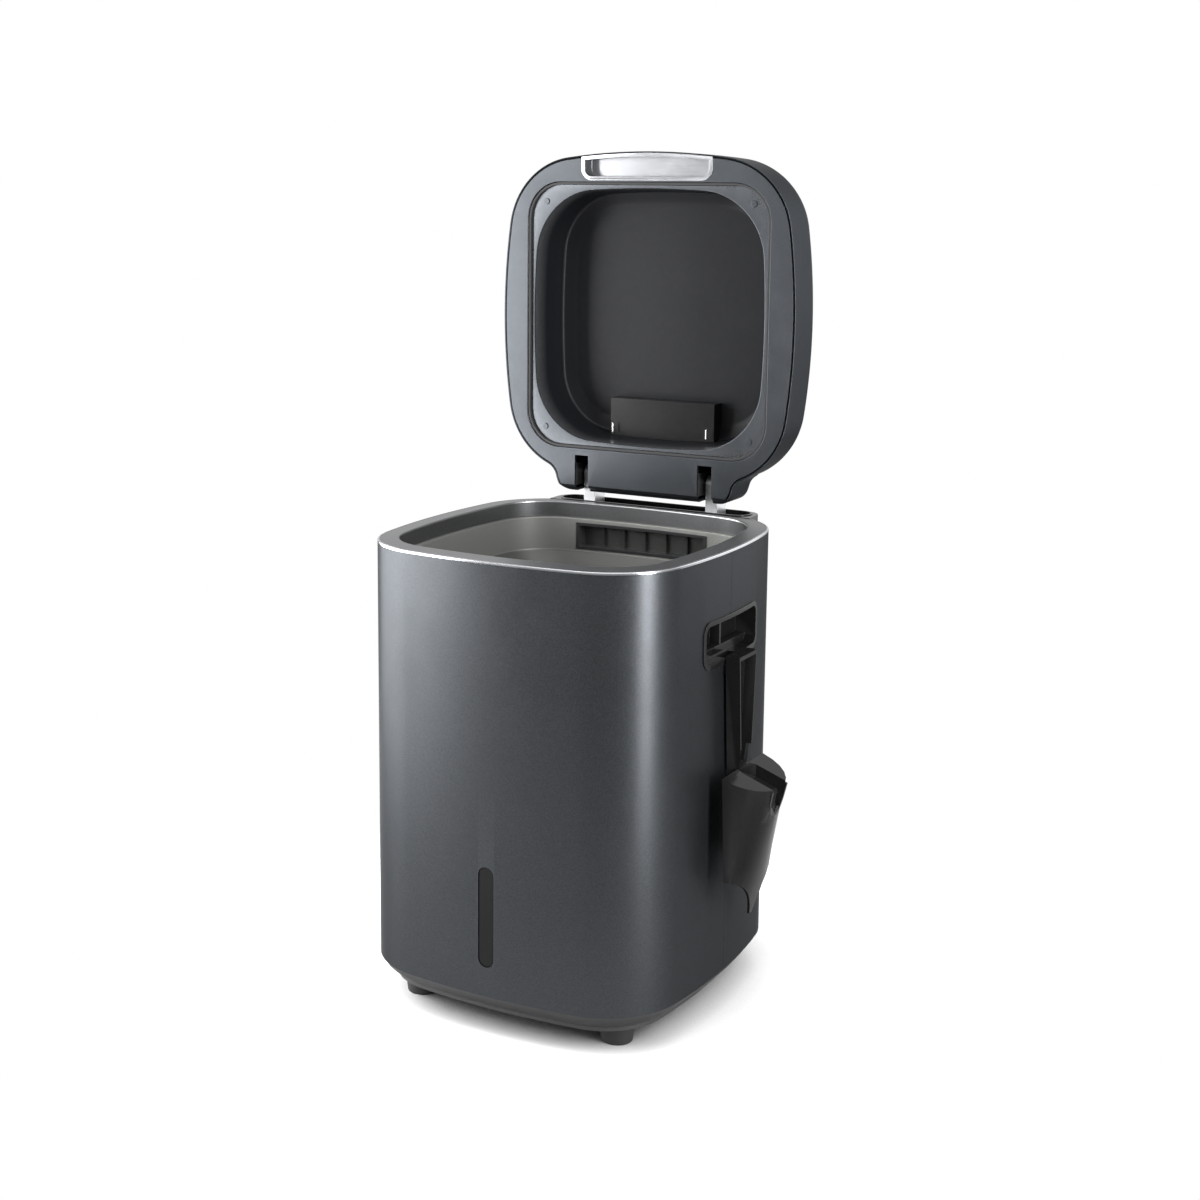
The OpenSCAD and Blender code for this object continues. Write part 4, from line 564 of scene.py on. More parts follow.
def wall(name, sections, closed=False, capped=False):
    """Loop of edges pulled from section to section; a section is an outline's reach and a height."""
    deselect()
    turns = stations()
    bpy.ops.mesh.primitive_circle_add(vertices=len(turns), radius=0.15)
    ob = bpy.context.object
    ob.name = name
    bpy.ops.object.mode_set(mode="EDIT")
    bm = bmesh.from_edit_mesh(ob.data)
    station = bm.verts.layers.int.new("station")
    bm.verts.ensure_lookup_table()
    for i, v in enumerate(bm.verts):
        v[station] = i

    def shape(section):
        reach, z = section
        live = bmesh.from_edit_mesh(ob.data)
        number = live.verts.layers.int["station"]
        for v in live.verts:
            if v.select:
                a = turns[v[number]]
                r = reach(a)
                v.co = (r * math.cos(a), r * math.sin(a), z)
        bmesh.update_edit_mesh(ob.data)

    shape(sections[0])
    for section in sections[1:] + (sections[:1] if closed else []):
        bpy.ops.mesh.extrude_region()
        shape(section)
    if capped:
        bpy.ops.mesh.edge_face_add()
    bpy.ops.mesh.select_all(action="SELECT")
    if closed:
        bpy.ops.mesh.remove_doubles(threshold=1e-7)
    bpy.ops.mesh.normals_make_consistent(inside=False)
    deselect()
    return ob


def band(name, path):
    """Closed ring whose section is a path of outlines, each with its height in millimetres."""
    return wall(name, [(reach, height * MM) for reach, height in path], closed=True)


def ring(name, path):
    """Closed ring along the body's plan, whose section is a path of (inset, height) in millimetres."""
    return band(name, [(plan(inset * MM), height) for inset, height in path])


# Angles in radians between two faces, below which an edge counts as flat and above which as sharp
FLAT_TURN, SHARP_TURN = 0.12, 0.72


def store_edges(ob):
    """Keeps on each point how sharply its faces turn there, for polished edges and painted edge highlights.
    """
    mesh = ob.data
    bm = bmesh.new()
    bm.from_mesh(mesh)
    share = []
    for v in bm.verts:
        turn = 0.0
        for e in v.link_edges:
            if len(e.link_faces) == 2:
                turn = max(turn, e.calc_face_angle(0.0))
        share.append(min(1.0, max(0.0, (turn - FLAT_TURN) / (SHARP_TURN - FLAT_TURN))))
    bm.free()
    layer = mesh.attributes.get("edge_share") or mesh.attributes.new("edge_share", "FLOAT", "POINT")
    layer.data.foreach_set("value", share)


def complete(ob, kind, node, body="body", bevel=None, segments=2, smooth=32, open_lid=False):
    """Breaks a piece's edges, smooths and paints it, and hands it to its body in place of its CAD node."""
    if open_lid:
        only(ob)
        ob.matrix_world = OPEN_LID
        bpy.ops.object.transform_apply()
    if bevel:
        apply(ob, "BEVEL", width=bevel * MM, segments=segments, limit_method="ANGLE",
              angle_limit=math.radians(34), use_clamp_overlap=True, harden_normals=False)
    store_edges(ob)
    only(ob)
    bpy.ops.object.shade_smooth_by_angle(angle=math.radians(smooth))
    apply(ob, "WEIGHTED_NORMAL", keep_sharp=True, weight=60)
    ob.data.materials.clear()
    ob.data.materials.append(material(kind))
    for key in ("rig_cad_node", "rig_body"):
        if key in ob:
            del ob[key]
    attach(ob, body)
    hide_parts(node)
    deselect()
    return ob


def second_finish(ob, kind, test):
    """Gives the faces that the test picks another finish."""
    ob.data.materials.append(material(kind))
    for face in ob.data.polygons:
        face.material_index = int(test(face))


def copy_of(node, name):
    """Joined-up copy of a CAD node, with its flat faces made whole."""
    only(NODES[node])
    bpy.ops.object.duplicate()
    ob = bpy.context.object
    ob.name = name
    ob.parent = None
    ob.data.materials.clear()
    only(ob)
    bpy.ops.mesh.customdata_custom_splitnormals_clear()
    edit_all(ob)
    bpy.ops.mesh.remove_doubles(threshold=2e-6)
    bpy.ops.mesh.dissolve_limited(angle_limit=math.radians(0.4))
    deselect()
    return ob


def dress(node, kind, body="body", bevel=0.4, **more):
    """A CAD shape that is right already: its copy gets broken edges and a finish."""
    ob = copy_of(node, node + "_dressed")
    return complete(ob, kind, node, body, bevel, **more)


# Pieces

def done():
    """Leaves nothing selected and ends an operator."""
    deselect()
    return {"FINISHED"}


def slot_cutter():
    """Upright slot with round ends, in the middle of the front."""
    half = 7.5
    return round_edges(block((-half, -172, 62), (half, -140, 150.5)), half - 0.01, along(1), 14)


def recess_cutter(side):
    """Room of a carrying recess with a gap round it, and the hook's lobe below the right one."""
    gap = 0.3
    near, far = sorted((side * (127 - gap), side * 165))
    ob = block((near, -48.5 - gap, 317 - gap), (far, 59.5 + gap, 354 + gap))
    round_edges(ob, 9 + gap, along(0), 10)
    if side > 0:
        lobe = block((138 - gap, -10 - gap, 300 - gap), (165, 18 + gap, 330))
        round_edges(lobe, 14 + gap - 0.01, lambda e: along(0)(e) and max(v.co.z for v in e.verts) < 0.31, 14)
        join_to(ob, lobe)
    return ob


def casing_half(side, name):
    """Painted half of the body: the wall pulled up from the plan, cut at the seam and given its thickness."""
    z = sizes()
    top = CASING_HIGH.z + 2.05 * MM
    rows = [CASING_LOW.z + (top - CASING_LOW.z) * t for t in (0, 0.25, 0.5, 0.75, 1)]
    ob = wall(name, [(plan(), row) for row in rows])
    edit_all(ob)
    bpy.ops.mesh.bisect(plane_co=(0, side * 0.15 * MM, 0), plane_no=(0, side, 0), clear_inner=True)
    deselect()
    face_out(ob, Vector((0, side, 0)))
    apply(ob, "SOLIDIFY", thickness=z.wall, offset=-1.0, use_even_offset=True)
    return cut(ob, recess_cutter(1), recess_cutter(-1))


def face_out(ob, direction):
    """Turns an open shell round where the face furthest along a direction looks the other way."""
    far = max(ob.data.polygons, key=lambda p: p.center.dot(direction))
    if far.normal.dot(direction) < 0:
        edit_all(ob)
        bpy.ops.mesh.flip_normals()
        deselect()
    return ob


class FrontCasing(bpy.types.Operator):
    """Front half of the painted body, with its window"""
    bl_idname = "composter.front_casing"
    bl_label = "Front casing and window"
    bl_options = {"REGISTER", "UNDO"}

    def execute(self, context):
        ob = casing_half(-1, "front_panel")
        cut(ob, slot_cutter())
        complete(ob, "casing paint", "front_casing", bevel=0.4)
        dress("indicator_window", "smoked window", bevel=0.5, segments=3)
        dress("indicator_board", "board green", bevel=None)
        return done()


class RearCasing(bpy.types.Operator):
    """Rear half of the painted body and its upright back housing"""
    bl_idname = "composter.rear_casing"
    bl_label = "Rear casing and back housing"
    bl_options = {"REGISTER", "UNDO"}

    def execute(self, context):
        ob = casing_half(1, "rear_panel")
        cut(ob, block((-72, 110, 50), (72, 200, 450)), block((-100.8, 110, 395), (100.8, 200, 450)))
        complete(ob, "casing paint", "rear_casing", bevel=0.4)
        dress("back_housing", "casing paint", bevel=0.5)
        dress("casing_screws", "steel", bevel=0.3)
        return done()


class TrimRing(bpy.types.Operator):
    """Silver ring on top of the casings"""
    bl_idname = "composter.trim_ring"
    bl_label = "Trim ring"
    bl_options = {"REGISTER", "UNDO"}

    def execute(self, context):
        top, low = TRIM_HIGH.z / MM, TRIM_LOW.z / MM
        path = [(2.7, low), (2.7, low + 2.15), (0.15, low + 2.15), (0, low + 2.3), (0, top - 1.1),
                (0.12, top - 0.6), (0.36, top - 0.25), (0.7, top - 0.06), (1.1, top), (1.5, top),
                (1.65, top - 0.15), (1.65, top - 0.9), (7, top - 0.9), (7, low)]
        ob = ring("trim_band", path)
        cut(ob, block(*HINGE_ROOM))
        complete(ob, "silver trim", "trim_ring")
        return done()


class Deck(bpy.types.Operator):
    """Silver deck with its upright wall round the opening"""
    bl_idname = "composter.deck"
    bl_label = "Deck"
    bl_options = {"REGISTER", "UNDO"}

    def execute(self, context):
        top, low = DECK_HIGH.z / MM, DECK_LOW.z / MM
        path = [(7.2, top - 4.1), (7.2, top - 1.7), (1.9, top - 1.7), (1.9, top - 1.2), (2.1, top - 0.98),
                (17.4, top - 0.02), (18.1, top - 0.05), (18.65, top - 0.3), (18.95, top - 0.8),
                (19, top - 1.5), (19, low + 0.5), (18.5, low), (16.5, low), (16.5, top - 3.4)]
        ob = ring("deck_band", path)
        cut(ob, block(*HINGE_ROOM))
        complete(ob, "deck silver", "top_deck")
        # Painted shade: the upright inner wall gets a darker copy of the deck silver.
        second_finish(ob, "deck wall",
                      lambda face: abs(face.normal.z) < 0.35 and face.center.z < (top - 1.2) * MM)
        return done()


class Collar(bpy.types.Operator):
    """Upper wall of the tank with its shoulder, flange and grille opening"""
    bl_idname = "composter.collar"
    bl_label = "Tank collar"
    bl_options = {"REGISTER", "UNDO"}

    def execute(self, context):
        top = COLLAR_HIGH.z / MM
        shoulder = top - 33
        path = [(15, top - 2), (15, top), (22.6, top), (23.2, top - 0.25), (23.5, top - 0.9),
                (23.5, shoulder + 3), (23.7, shoulder + 1.4), (24.3, shoulder), (33, shoulder - 12.6),
                (33.5, shoulder - 14), (28.5, shoulder - 14), (28.5, shoulder - 12), (29.3, shoulder - 12),
                (21.9, shoulder - 1.6), (21.9, top - 2)]
        ob = ring("collar_band", path)
        grille_room = block((-67, 120, 369.4), (67, 150, 392.4))
        cut(ob, grille_room, block((-106, 138.2, top - 2.5), (106, 190, top + 5)))
        complete(ob, "tank metal", "tank_collar", bevel=0.25)
        # Painted shade: upward faces of the shoulder get a darker copy of the tank metal.
        second_finish(ob, "tank shoulder",
                      lambda face: face.normal.z > 0.25 and face.center.z < (shoulder + 4) * MM)
        dress("tank", "tank metal", bevel=None)
        return done()


class Grille(bpy.types.Operator):
    """Exhaust grille in the tank's back wall"""
    bl_idname = "composter.grille"
    bl_label = "Exhaust grille"
    bl_options = {"REGISTER", "UNDO"}

    def execute(self, context):
        dress("exhaust_frame", "black satin", bevel=0.3)
        dress("exhaust_mesh", "mesh grey", bevel=None)
        return done()


class Base(bpy.types.Operator):
    """Black base tray on four rubber feet"""
    bl_idname = "composter.base"
    bl_label = "Base and feet"
    bl_options = {"REGISTER", "UNDO"}

    def execute(self, context):
        dress("base_tray", "black base", bevel=None)
        dress("rubber_feet", "rubber", bevel=1.2, segments=3)
        dress("foot_screws", "steel", bevel=0.2)
        return done()


class Recesses(bpy.types.Operator):
    """Glossy carrying recesses on both sides"""
    bl_idname = "composter.recesses"
    bl_label = "Carrying recesses"
    bl_options = {"REGISTER", "UNDO"}

    def execute(self, context):
        for node in ("carry_recess_right", "carry_recess_left"):
            dress(node, "black gloss", bevel=0.45, segments=3)
        return done()


class HingeParts(bpy.types.Operator):
    """Hinge tray, silver arms and their screws"""
    bl_idname = "composter.hinge_parts"
    bl_label = "Hinge tray and arms"
    bl_options = {"REGISTER", "UNDO"}

    def execute(self, context):
        dress("hinge_tray", "black gloss", bevel=0.4)
        dress("hinge_arms", "cast silver", bevel=0.8, segments=3)
        dress("hinge_screws", "bright steel", bevel=0.8, segments=3)
        return done()


def tongue(inset=0.0):
    """Reach of the lid's hinge tongue with its flares into the body plan."""
    z = sizes()
    straight = rounded(91.5 * MM - inset, 167 * MM - inset, 14 * MM - inset)
    centre = hubs(z.half_width, z.half_depth, z.side_bow, z.corner)[2]
    flare, flare_x = 16 * MM, 107.5 * MM
    radius = flare + inset
    hub = Vector((flare_x, centre.y + math.sqrt((z.corner + flare) ** 2 - (flare_x - centre.x) ** 2)))
    touch = centre + (hub - centre).normalized() * (z.corner - inset)
    start, end = math.atan2(touch.y, touch.x), math.atan2(hub.y, hub.x - radius)

    def reach(angle):
        s, c = math.sin(angle), abs(math.cos(angle))
        if s <= 0:
            return 0.0
        turn = math.atan2(s, c)
        if turn >= end:
            return straight(angle)
        if turn >= start:
            along_it = c * hub.x + s * hub.y
            inside = along_it ** 2 - hub.length_squared + radius ** 2
            return along_it - math.sqrt(inside) if inside > 0 else 0.0
        return 0.0
    return reach


def lid_outline(inset=0.0, tongue_inset=None):
    """Body plan and hinge tongue in one outline."""
    body, back = plan(inset), tongue(inset if tongue_inset is None else tongue_inset)
    return lambda angle: max(body(angle), back(angle))


def groove(grow=0.0):
    """Groove for the gasket in the lid's rim."""
    return rounded((124 + grow) * MM, (125.5 + grow) * MM, (35 + grow) * MM)


def tub(inset=0.0):
    """Inner tub of the lid."""
    return bowed((118.5 - inset) * MM, (120 - inset) * MM, (900 - inset) * MM, (64 - inset) * MM)


def arm_slots():
    """Room of the two slots that the hinge arms pass through."""
    top = HINGE.z / MM + 13.2
    return [block((x - 7.2, 132, LID_Z / MM - 1), (x + 7.2, 175, top)) for x in (-64.2, 64.2)]


def bevel_tongue(ob):
    """Slants the tongue's end, which clears the hinge tray as the lid swings."""
    edit_all(ob)
    slant = Vector((0, 1, -1)).normalized()
    bpy.ops.mesh.bisect(plane_co=(0, 161 * MM, LID_Z), plane_no=slant, use_fill=True, clear_outer=True)
    deselect()
    return ob


class LidShell(bpy.types.Operator):
    """Domed outer shell of the lid with its hinge tongue"""
    bl_idname = "composter.lid_shell"
    bl_label = "Lid shell"
    bl_options = {"REGISTER", "UNDO"}

    def execute(self, context):
        sections = []
        straight, dome, lean, tongue_top = 37, 30, 0.8, 50
        heights = [0, 0.12, 0.35, 12, 25, straight, 39.9, 42, 45, 48, 49.5, 50.2]
        heights += [straight + dome * math.sin(math.radians(t)) for t in range(9, 91, 9)]
        for h in sorted(heights):
            if h <= straight:
                inset = max(lean * h / straight, 0.3 - h)
            else:
                inset = lean + dome * (1 - math.cos(math.asin(min(1.0, (h - straight) / dome))))
            if h < tongue_top:
                back = max(inset if h < 1 else 0, 8 * max(0.0, (h - 40) / 10) ** 1.6)
                sections.append((lid_outline(inset * MM, back * MM), LID_Z + h * MM))
            else:
                sections.append((plan(inset * MM), LID_Z + h * MM))
            if h == 49.5:
                sections.append((lid_outline(inset * MM, 12 * MM), LID_Z + tongue_top * MM))
        ob = wall("lid_dome", sections, capped=True)
        face_out(ob, Vector((0, 0, 1)))
        apply(ob, "SOLIDIFY", thickness=2.5 * MM, offset=-1.0, use_even_offset=False)
        bevel_tongue(ob)
        cut(ob, *arm_slots())
        complete(ob, "lid paint", "lid_shell", "lid", bevel=0.15, open_lid=True, smooth=40)
        return done()


class LidRim(bpy.types.Operator):
    """Flat band round the lid's opening, with the gasket in its groove"""
    bl_idname = "composter.lid_rim"
    bl_label = "Lid rim"
    bl_options = {"REGISTER", "UNDO"}

    def execute(self, context):
        z = LID_Z / MM
        path = [(lid_outline(i * MM), z + h) for i, h in ((2.5, 3), (2.5, 0.12), (2.55, 0.03), (2.65, 0))]
        path += [(groove(g), z + h) for g, h in ((0.7, 0), (0.25, 0.12), (0, 0.5), (0, 9), (2, 9), (2, 3))]
        ob = band("rim_band", path)
        bevel_tongue(ob)
        grip = block((-65.2, -170, z - 5), (65.2, -128.5, z + 3.5))
        cut(ob, *arm_slots(), round_edges(grip, 9, along(2), 8))
        complete(ob, "rim satin", "lid_rim", "lid", bevel=0.06, open_lid=True)
        dress("lid_gasket", "rubber", "lid", bevel=0.5)
        return done()


class LidTub(bpy.types.Operator):
    """Dark tub inside the lid with its screws"""
    bl_idname = "composter.lid_tub"
    bl_label = "Lid tub"
    bl_options = {"REGISTER", "UNDO"}

    def execute(self, context):
        z = LID_Z / MM
        flange = [(groove(-2.6), z + 5.8), (groove(-2.6), z + 4.3), (groove(-2.9), z + 4), (tub(-0.5), z + 4),
                  (tub(-0.15), z + 4.12), (tub(0), z + 4.45), (tub(0.1), z + 5.8)]
        ob = band("tub_flange", flange)
        complete(ob, "rim satin", "lid_liner", "lid", open_lid=True)
        steps = [(0.05, 5.0), (1.5, 24), (3, 44), (3.5, 50.4), (3.65, 51.6), (4.0, 52.5),
                 (4.6, 53.2), (5.5, 53.7), (9, 55.1), (13, 56.7), (18, 58)]
        sections = [(tub(i), LID_Z + h * MM) for i, h in steps]
        ob = wall("tub_shell", sections, capped=True)
        face_out(ob, Vector((0, 0, 1)))
        apply(ob, "SOLIDIFY", thickness=1.8 * MM, offset=1.0, use_even_offset=False)
        complete(ob, "tub satin", "lid_liner", "lid", open_lid=True, smooth=28)
        dress("liner_screws", "rim satin", "lid", bevel=0.3)
        return done()


class SensorBox(bpy.types.Operator):
    """Black sensor box with its two bright pins"""
    bl_idname = "composter.sensor_box"
    bl_label = "Sensor box"
    bl_options = {"REGISTER", "UNDO"}

    def execute(self, context):
        dress("odour_sensor", "sensor black", "lid", bevel=0.9, segments=3)
        low, high = (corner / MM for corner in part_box("sensor_pins"))
        front = low.y - 0.1
        pins = [pin("sensor_hooks", (x, front, low.z), (x, front, low.z + 9), 0.9, 0.7)
                for x in (low.x + 1.6, high.x - 1.6)]
        complete(join_to(*pins), "bright steel", "sensor_pins", "lid", bevel=0.3)
        return done()


class Grip(bpy.types.Operator):
    """Silver finger grip let into the rim"""
    bl_idname = "composter.grip"
    bl_label = "Finger grip"
    bl_options = {"REGISTER", "UNDO"}

    def execute(self, context):
        ob = dress("lid_grip", "grip silver", "lid", bevel=0.35, segments=3)
        places = [v.co for v in ob.data.vertices]
        low, high = (Vector([pick(p[i] for p in places) for i in range(3)]) for pick in (min, max))
        border = 1.3 * MM
        for place, way in (((low.x + border, 0, 0), (1, 0, 0)), ((high.x - border, 0, 0), (1, 0, 0)),
                           ((0, 0, low.z + border), (0, 0, 1))):
            edit_all(ob)
            bpy.ops.mesh.bisect(plane_co=place, plane_no=way)
            deselect()

        def in_border(face):
            at = face.center
            outer = at.x < low.x + border or at.x > high.x - border or at.z < low.z + border
            return outer and face.normal.y < -0.9 and at.y < low.y + 1.2 * MM

        second_finish(ob, "silver trim", in_border)
        return done()


# Outlines of the scoop's groove and the solid behind it, and how far out the handle goes, in millimetres
GROOVE_ROOM = [(155.5, 240), (168, 240), (215, 240), (215, 182), (192.9, 182), (189.2, 186), (187.5, 192),
               (188.7, 200), (187.5, 202.2), (185, 203.2), (168, 209.4), (155.5, 214.9)]
GROOVE_BACK = [(154.5, 223.9), (168, 219.1), (196.9, 207.9), (194.1, 195), (191.0, 180.6), (187.0, 184.4),
               (185.3, 191.5), (186.4, 199.2), (184.4, 201.0), (168, 207.2), (154.5, 212.0)]
HANDLE_END = 160


def groove_width(x, z):
    """Half the width of the groove from the scoop's handle over its end wall; it widens upwards there."""
    if x < HANDLE_END:
        return 6.8
    return 8.0 + 6.5 * min(1.0, max(0.0, (z - 182) / 17))


def groove_piece(outline, wider=0.0):
    """Solid along the groove from an outline in X and Z, as wide as the groove at each point."""
    deselect()
    bpy.ops.mesh.primitive_circle_add(vertices=len(outline), radius=0.1, fill_type="NGON")
    ob = bpy.context.object
    for v, (x, z) in zip(ob.data.vertices, outline):
        v.co = (x * MM, 0, z * MM)
    edit_all(ob)
    bpy.ops.mesh.extrude_region_move(TRANSFORM_OT_translate={"value": (0, 0.1, 0)})
    deselect()
    for v in ob.data.vertices:
        x, z = v.co.x / MM, v.co.z / MM
        middle = 4 if x < HANDLE_END else 5.5
        v.co.y = (middle + (1 if v.co.y > 0.05 else -1) * (groove_width(x, z) + wider)) * MM
    edit_all(ob)
    bpy.ops.mesh.quads_convert_to_tris()
    bpy.ops.mesh.normals_make_consistent(inside=False)
    deselect()
    return ob


def handle_pocket():
    """Pocket in the face of the scoop's handle, wider upwards, that leaves thin walls around it."""
    narrow, wide, bottom, height, slope = 8.7, 16.7, 216, 106, math.tan(math.radians(20))
    ob = block((155.5, -10, 219), (172, 18, 318.5))
    for v in ob.data.vertices:
        x, z = v.co.x / MM, v.co.z / MM
        if z < 300:
            z = 226.4 - slope * (x - 152.5)
        half = narrow + (wide - narrow) * (z - bottom) / height
        v.co.y = (4 + (half if v.co.y > 0.004 else -half)) * MM
        v.co.z = z * MM
    return ob


class Scoop(bpy.types.Operator):
    """Black scoop that hangs on the right recess"""
    bl_idname = "composter.scoop"
    bl_label = "Scoop"
    bl_options = {"REGISTER", "UNDO"}

    def execute(self, context):
        ob = copy_of("scoop", "grooved_scoop")
        join_to(ob, groove_piece(GROOVE_BACK, 2.2))
        room = groove_piece(GROOVE_ROOM)
        round_edges(room, 7.0, lambda e: along(0)(e) and max(v.co.z for v in e.verts) < 0.1825
                    and e.calc_face_angle(0) > 1, 8)
        cut(ob, room, handle_pocket())
        complete(ob, "scoop black", "scoop", "scoop", bevel=0.45, segments=3)
        dress("scoop_hook", "scoop black", "scoop", bevel=0.5, segments=3)
        return done()


class BackFittings(bpy.types.Operator):
    """Filter drawer, mains inlet and rocker switch on the back"""
    bl_idname = "composter.back_fittings"
    bl_label = "Back fittings"
    bl_options = {"REGISTER", "UNDO"}

    def execute(self, context):
        dress("filter_drawer", "black satin", "drawer", bevel=0.5, segments=3)
        dress("carbon_pack", "carbon", "drawer", bevel=1.5, segments=3)
        dress("power_inlet", "black satin", bevel=0.5, segments=3)
        dress("power_rocker", "black gloss", "rocker", bevel=0.6, segments=3)
        return done()


# Node, finish, body and bevel in millimetres
INSIDE = [
    ("tank_cradle", "cast silver", "body", 0.5),
    ("heater_mat", "heater orange", "body", None),
    ("shaft_bushes", "gear nylon", "body", 0.4),
    ("exhaust_duct", "duct black", "body", 0.5),
    ("blower_housing", "duct black", "body", 0.5),
    ("blower_motor", "steel", "body", 0.5),
    ("filter_sleeve", "duct black", "body", 0.5),
    ("gear_bracket", "cast silver", "body", 0.5),
    ("gearbox", "cast silver", "body", 0.8),
    ("drive_motor", "steel", "body", 0.8),
    ("idler_pin", "steel", "body", 0.4),
    ("control_board", "board green", "body", 0.3),
    ("stirring_shaft", "steel", "stirrer", 0.6),
    ("stirring_arms", "cast silver", "stirrer", 0.6),
    ("driven_gear", "gear nylon", "stirrer", None),
    ("idler_gear", "gear nylon", "idler", None),
    ("motor_pinion", "steel", "pinion", None),
    ("blower_wheel", "gear nylon", "blower", None),
    ("hinge_carrier", "black satin", "lid", 0.5),
    ("hinge_pins", "steel", "lid", 0.5),
    ("hinge_dampers", "duct black", "lid", 0.6),
]


class InsideWorks(bpy.types.Operator):
    """Stirrer, drive, blower and electrics inside the body"""
    bl_idname = "composter.inside_works"
    bl_label = "Inside works"
    bl_options = {"REGISTER", "UNDO"}

    def execute(self, context):
        for node, kind, body, bevel in INSIDE:
            dress(node, kind, body, bevel=bevel)
        return done()


# Floor, lamps and camera

# Name, place, the point that it looks at, width, height and power, in metres and watts
LAMPS = [
    ("left_panel", (-0.90, -0.36, 0.54), (0, 0, 0.54), 1.25, 1.08, 41),
    ("right_strip", (0.88, -0.25, 0.70), (0, 0, 0.70), 0.20, 1.38, 17),
    ("back_panel", (0.75, 1.25, 0.75), (0, 0, 0.75), 0.80, 1.40, 5),
    ("top_softbox", (0.0, -0.2, 2.3), (0, 0, 0.0), 1.8, 1.8, 24),
]


def lamp(name, place, aim, width, height, power):
    """Soft rectangular lamp."""
    deselect()
    bpy.ops.object.light_add(type="AREA", location=place)
    ob = bpy.context.object
    ob.name = name
    ob.data.shape = "RECTANGLE"
    ob.data.size, ob.data.size_y, ob.data.energy = width, height, power
    ob.rotation_euler = (Vector(aim) - Vector(place)).to_track_quat("-Z", "Y").to_euler()
    ob.visible_camera = False


class Stage(bpy.types.Operator):
    """Pale floor, plain studio lamps and the camera"""
    bl_idname = "composter.stage"
    bl_label = "Stage"
    bl_options = {"REGISTER", "UNDO"}

    def execute(self, context):
        floor_piece()
        studio_world()
        for row in LAMPS:
            lamp(*row)
        camera()
        bpy.context.scene.view_settings.view_transform = "Standard"
        return done()


# Distances from the middle, in metres, between which the floor fades to plain white for the camera
SHADOW_EDGE = 0.24, 0.46


def floor_piece():
    """Wide pale floor that is white to the camera further out and keeps the real shadow near the object,
    deepened there by a painted occlusion shadow.
    """
    deselect()
    bpy.ops.mesh.primitive_grid_add(x_subdivisions=8, y_subdivisions=8, size=14, location=(0, 0, 0))
    ob = bpy.context.object
    ob.name = "floor"
    made = bpy.data.materials.new("pale floor")
    made.use_nodes = True
    s = Sheet(made.node_tree)
    plain = made.node_tree.nodes["Principled BSDF"]
    s.feed(plain, Base_Color=(0.50, 0.50, 0.50, 1), Roughness=0.9, Specular_IOR_Level=0.1)
    # Painted contact shadow: an ambient occlusion node darkens the floor's colour near the object, on top of
    # the lamps' real shadow.
    painted_contact_shadow = s.feed(s.add("ShaderNodeAmbientOcclusion", samples=8), Distance=0.22)
    level = s.math("POWER", painted_contact_shadow.outputs["AO"], 0.6)
    glow = s.feed(s.add("ShaderNodeEmission"), Color=(1, 1, 1, 1), Strength=1.0)
    near = s.add("ShaderNodeAddShader")
    for i, grey in enumerate((0.78, 0.50)):
        shade = s.feed(s.add("ShaderNodeVectorMath", operation="SCALE"), _0=(grey, grey, grey), Scale=level)
        matt = s.feed(s.add("ShaderNodeBsdfDiffuse"), Color=shade.outputs[0])
        s.link(matt.outputs[0], near.inputs[i])
    away = s.feed(s.add("ShaderNodeVectorMath", operation="LENGTH"), _0=s.place())
    fade = s.spread(away.outputs["Value"], 0.0, 1.0, *SHADOW_EDGE, smooth=True)
    shown = s.add("ShaderNodeMixShader")
    s.link(fade, shown.inputs[0])
    s.link(near.outputs[0], shown.inputs[1])
    s.link(glow.outputs[0], shown.inputs[2])
    pick = s.add("ShaderNodeMixShader")
    s.link(s.add("ShaderNodeLightPath").outputs["Is Camera Ray"], pick.inputs[0])
    s.link(plain.outputs[0], pick.inputs[1])
    s.link(shown.outputs[0], pick.inputs[2])
    s.link(pick.outputs[0], made.node_tree.nodes["Material Output"].inputs["Surface"])
    ob.data.materials.append(made)


def studio_world():
    """White to the camera and in reflections, a plain level on the object."""
    world = bpy.data.worlds.new("Studio")
    world.use_nodes = True
    bpy.context.scene.world = world
    s = Sheet(world.node_tree)
    path = s.add("ShaderNodeLightPath")
    shown = s.math("MAXIMUM", s.math("MAXIMUM", path.outputs["Is Camera Ray"], path.outputs["Is Glossy Ray"]),
                   path.outputs["Is Transmission Ray"])
    back = world.node_tree.nodes["Background"]
    s.feed(back, Color=(1, 1, 1, 1))
    s.link(s.spread(shown, 0.40, 1.0), back.inputs["Strength"])


CAMERA_PLACE = (0.7875, -1.4476, 0.7240)
CAMERA_TURN = (30.08, 9.35, 0.26)
CAMERA_LENS = 56.94
CAMERA_SHIFT = (0.0612, -0.0955)


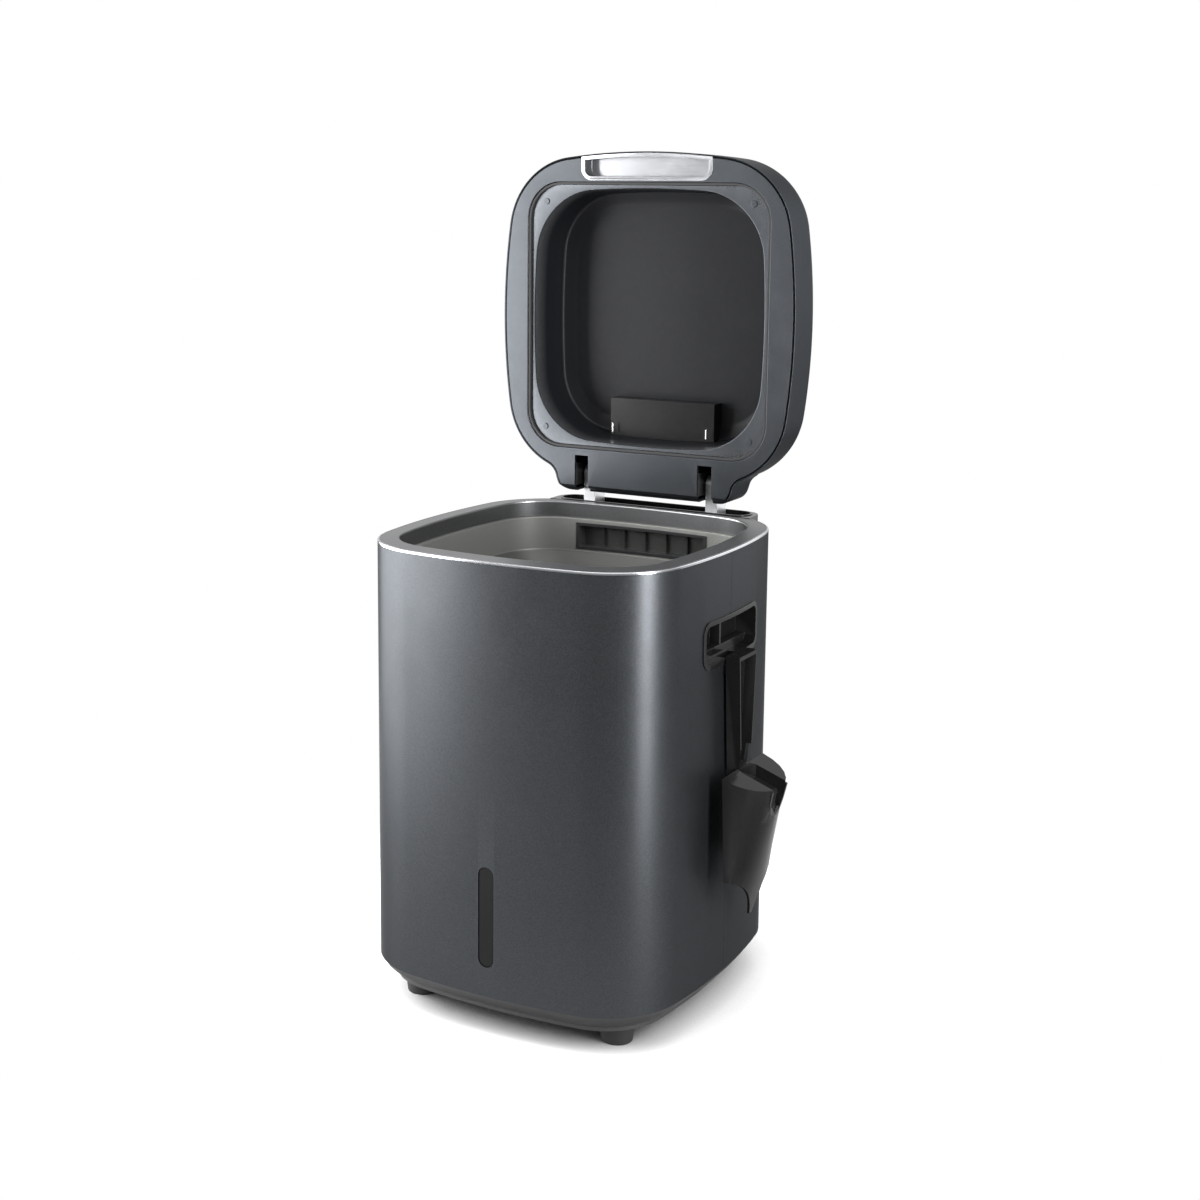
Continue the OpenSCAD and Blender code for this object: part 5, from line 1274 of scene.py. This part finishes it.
def camera():
    """Camera at the photograph's place and angle."""
    deselect()
    around, down, roll = (math.radians(v) for v in CAMERA_TURN)
    back = Vector((math.sin(around) * math.cos(down), -math.cos(around) * math.cos(down), math.sin(down)))
    level = Vector((math.cos(around), math.sin(around), 0))
    up = back.cross(level)
    right = math.cos(roll) * level + math.sin(roll) * up
    top = -math.sin(roll) * level + math.cos(roll) * up
    bpy.ops.object.camera_add(location=CAMERA_PLACE)
    ob = bpy.context.object
    ob.name = "camera"
    turn = Matrix((right, top, back)).transposed()
    ob.rotation_euler = turn.to_euler()
    ob.data.sensor_width, ob.data.lens = 36, CAMERA_LENS
    ob.data.shift_x, ob.data.shift_y = CAMERA_SHIFT
    bpy.context.scene.camera = ob


STEPS = (FrontCasing, RearCasing, TrimRing, Deck, Collar, Grille, Base, Recesses, HingeParts, LidShell,
         LidRim, LidTub, SensorBox, Grip, Scoop, BackFittings, InsideWorks, Stage)


class ComposterPanel(bpy.types.Panel):
    """Sizes, colours and modelling steps of the composter"""
    bl_idname = "VIEW3D_PT_composter"
    bl_label = "Food waste composter"
    bl_space_type = "VIEW_3D"
    bl_region_type = "UI"
    bl_category = "Composter"

    def draw(self, context):
        for group in (context.scene.composter_sizes, context.scene.composter_colours):
            column = self.layout.column(align=True)
            for name in group.__annotations__:
                column.prop(group, name)
        column = self.layout.column(align=True)
        for step in STEPS:
            column.operator(step.bl_idname)


CLASSES = (ComposterSizes, ComposterColours) + STEPS + (ComposterPanel,)


def register():
    for c in CLASSES:
        bpy.utils.register_class(c)
    bpy.types.Scene.composter_sizes = PointerProperty(type=ComposterSizes)
    bpy.types.Scene.composter_colours = PointerProperty(type=ComposterColours)


def unregister():
    del bpy.types.Scene.composter_sizes
    del bpy.types.Scene.composter_colours
    for c in reversed(CLASSES):
        bpy.utils.unregister_class(c)


def main():
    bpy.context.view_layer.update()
    register()
    for step in STEPS:
        group, name = step.bl_idname.split(".")
        getattr(getattr(bpy.ops, group), name)()


if __name__ == "__main__":
    main()
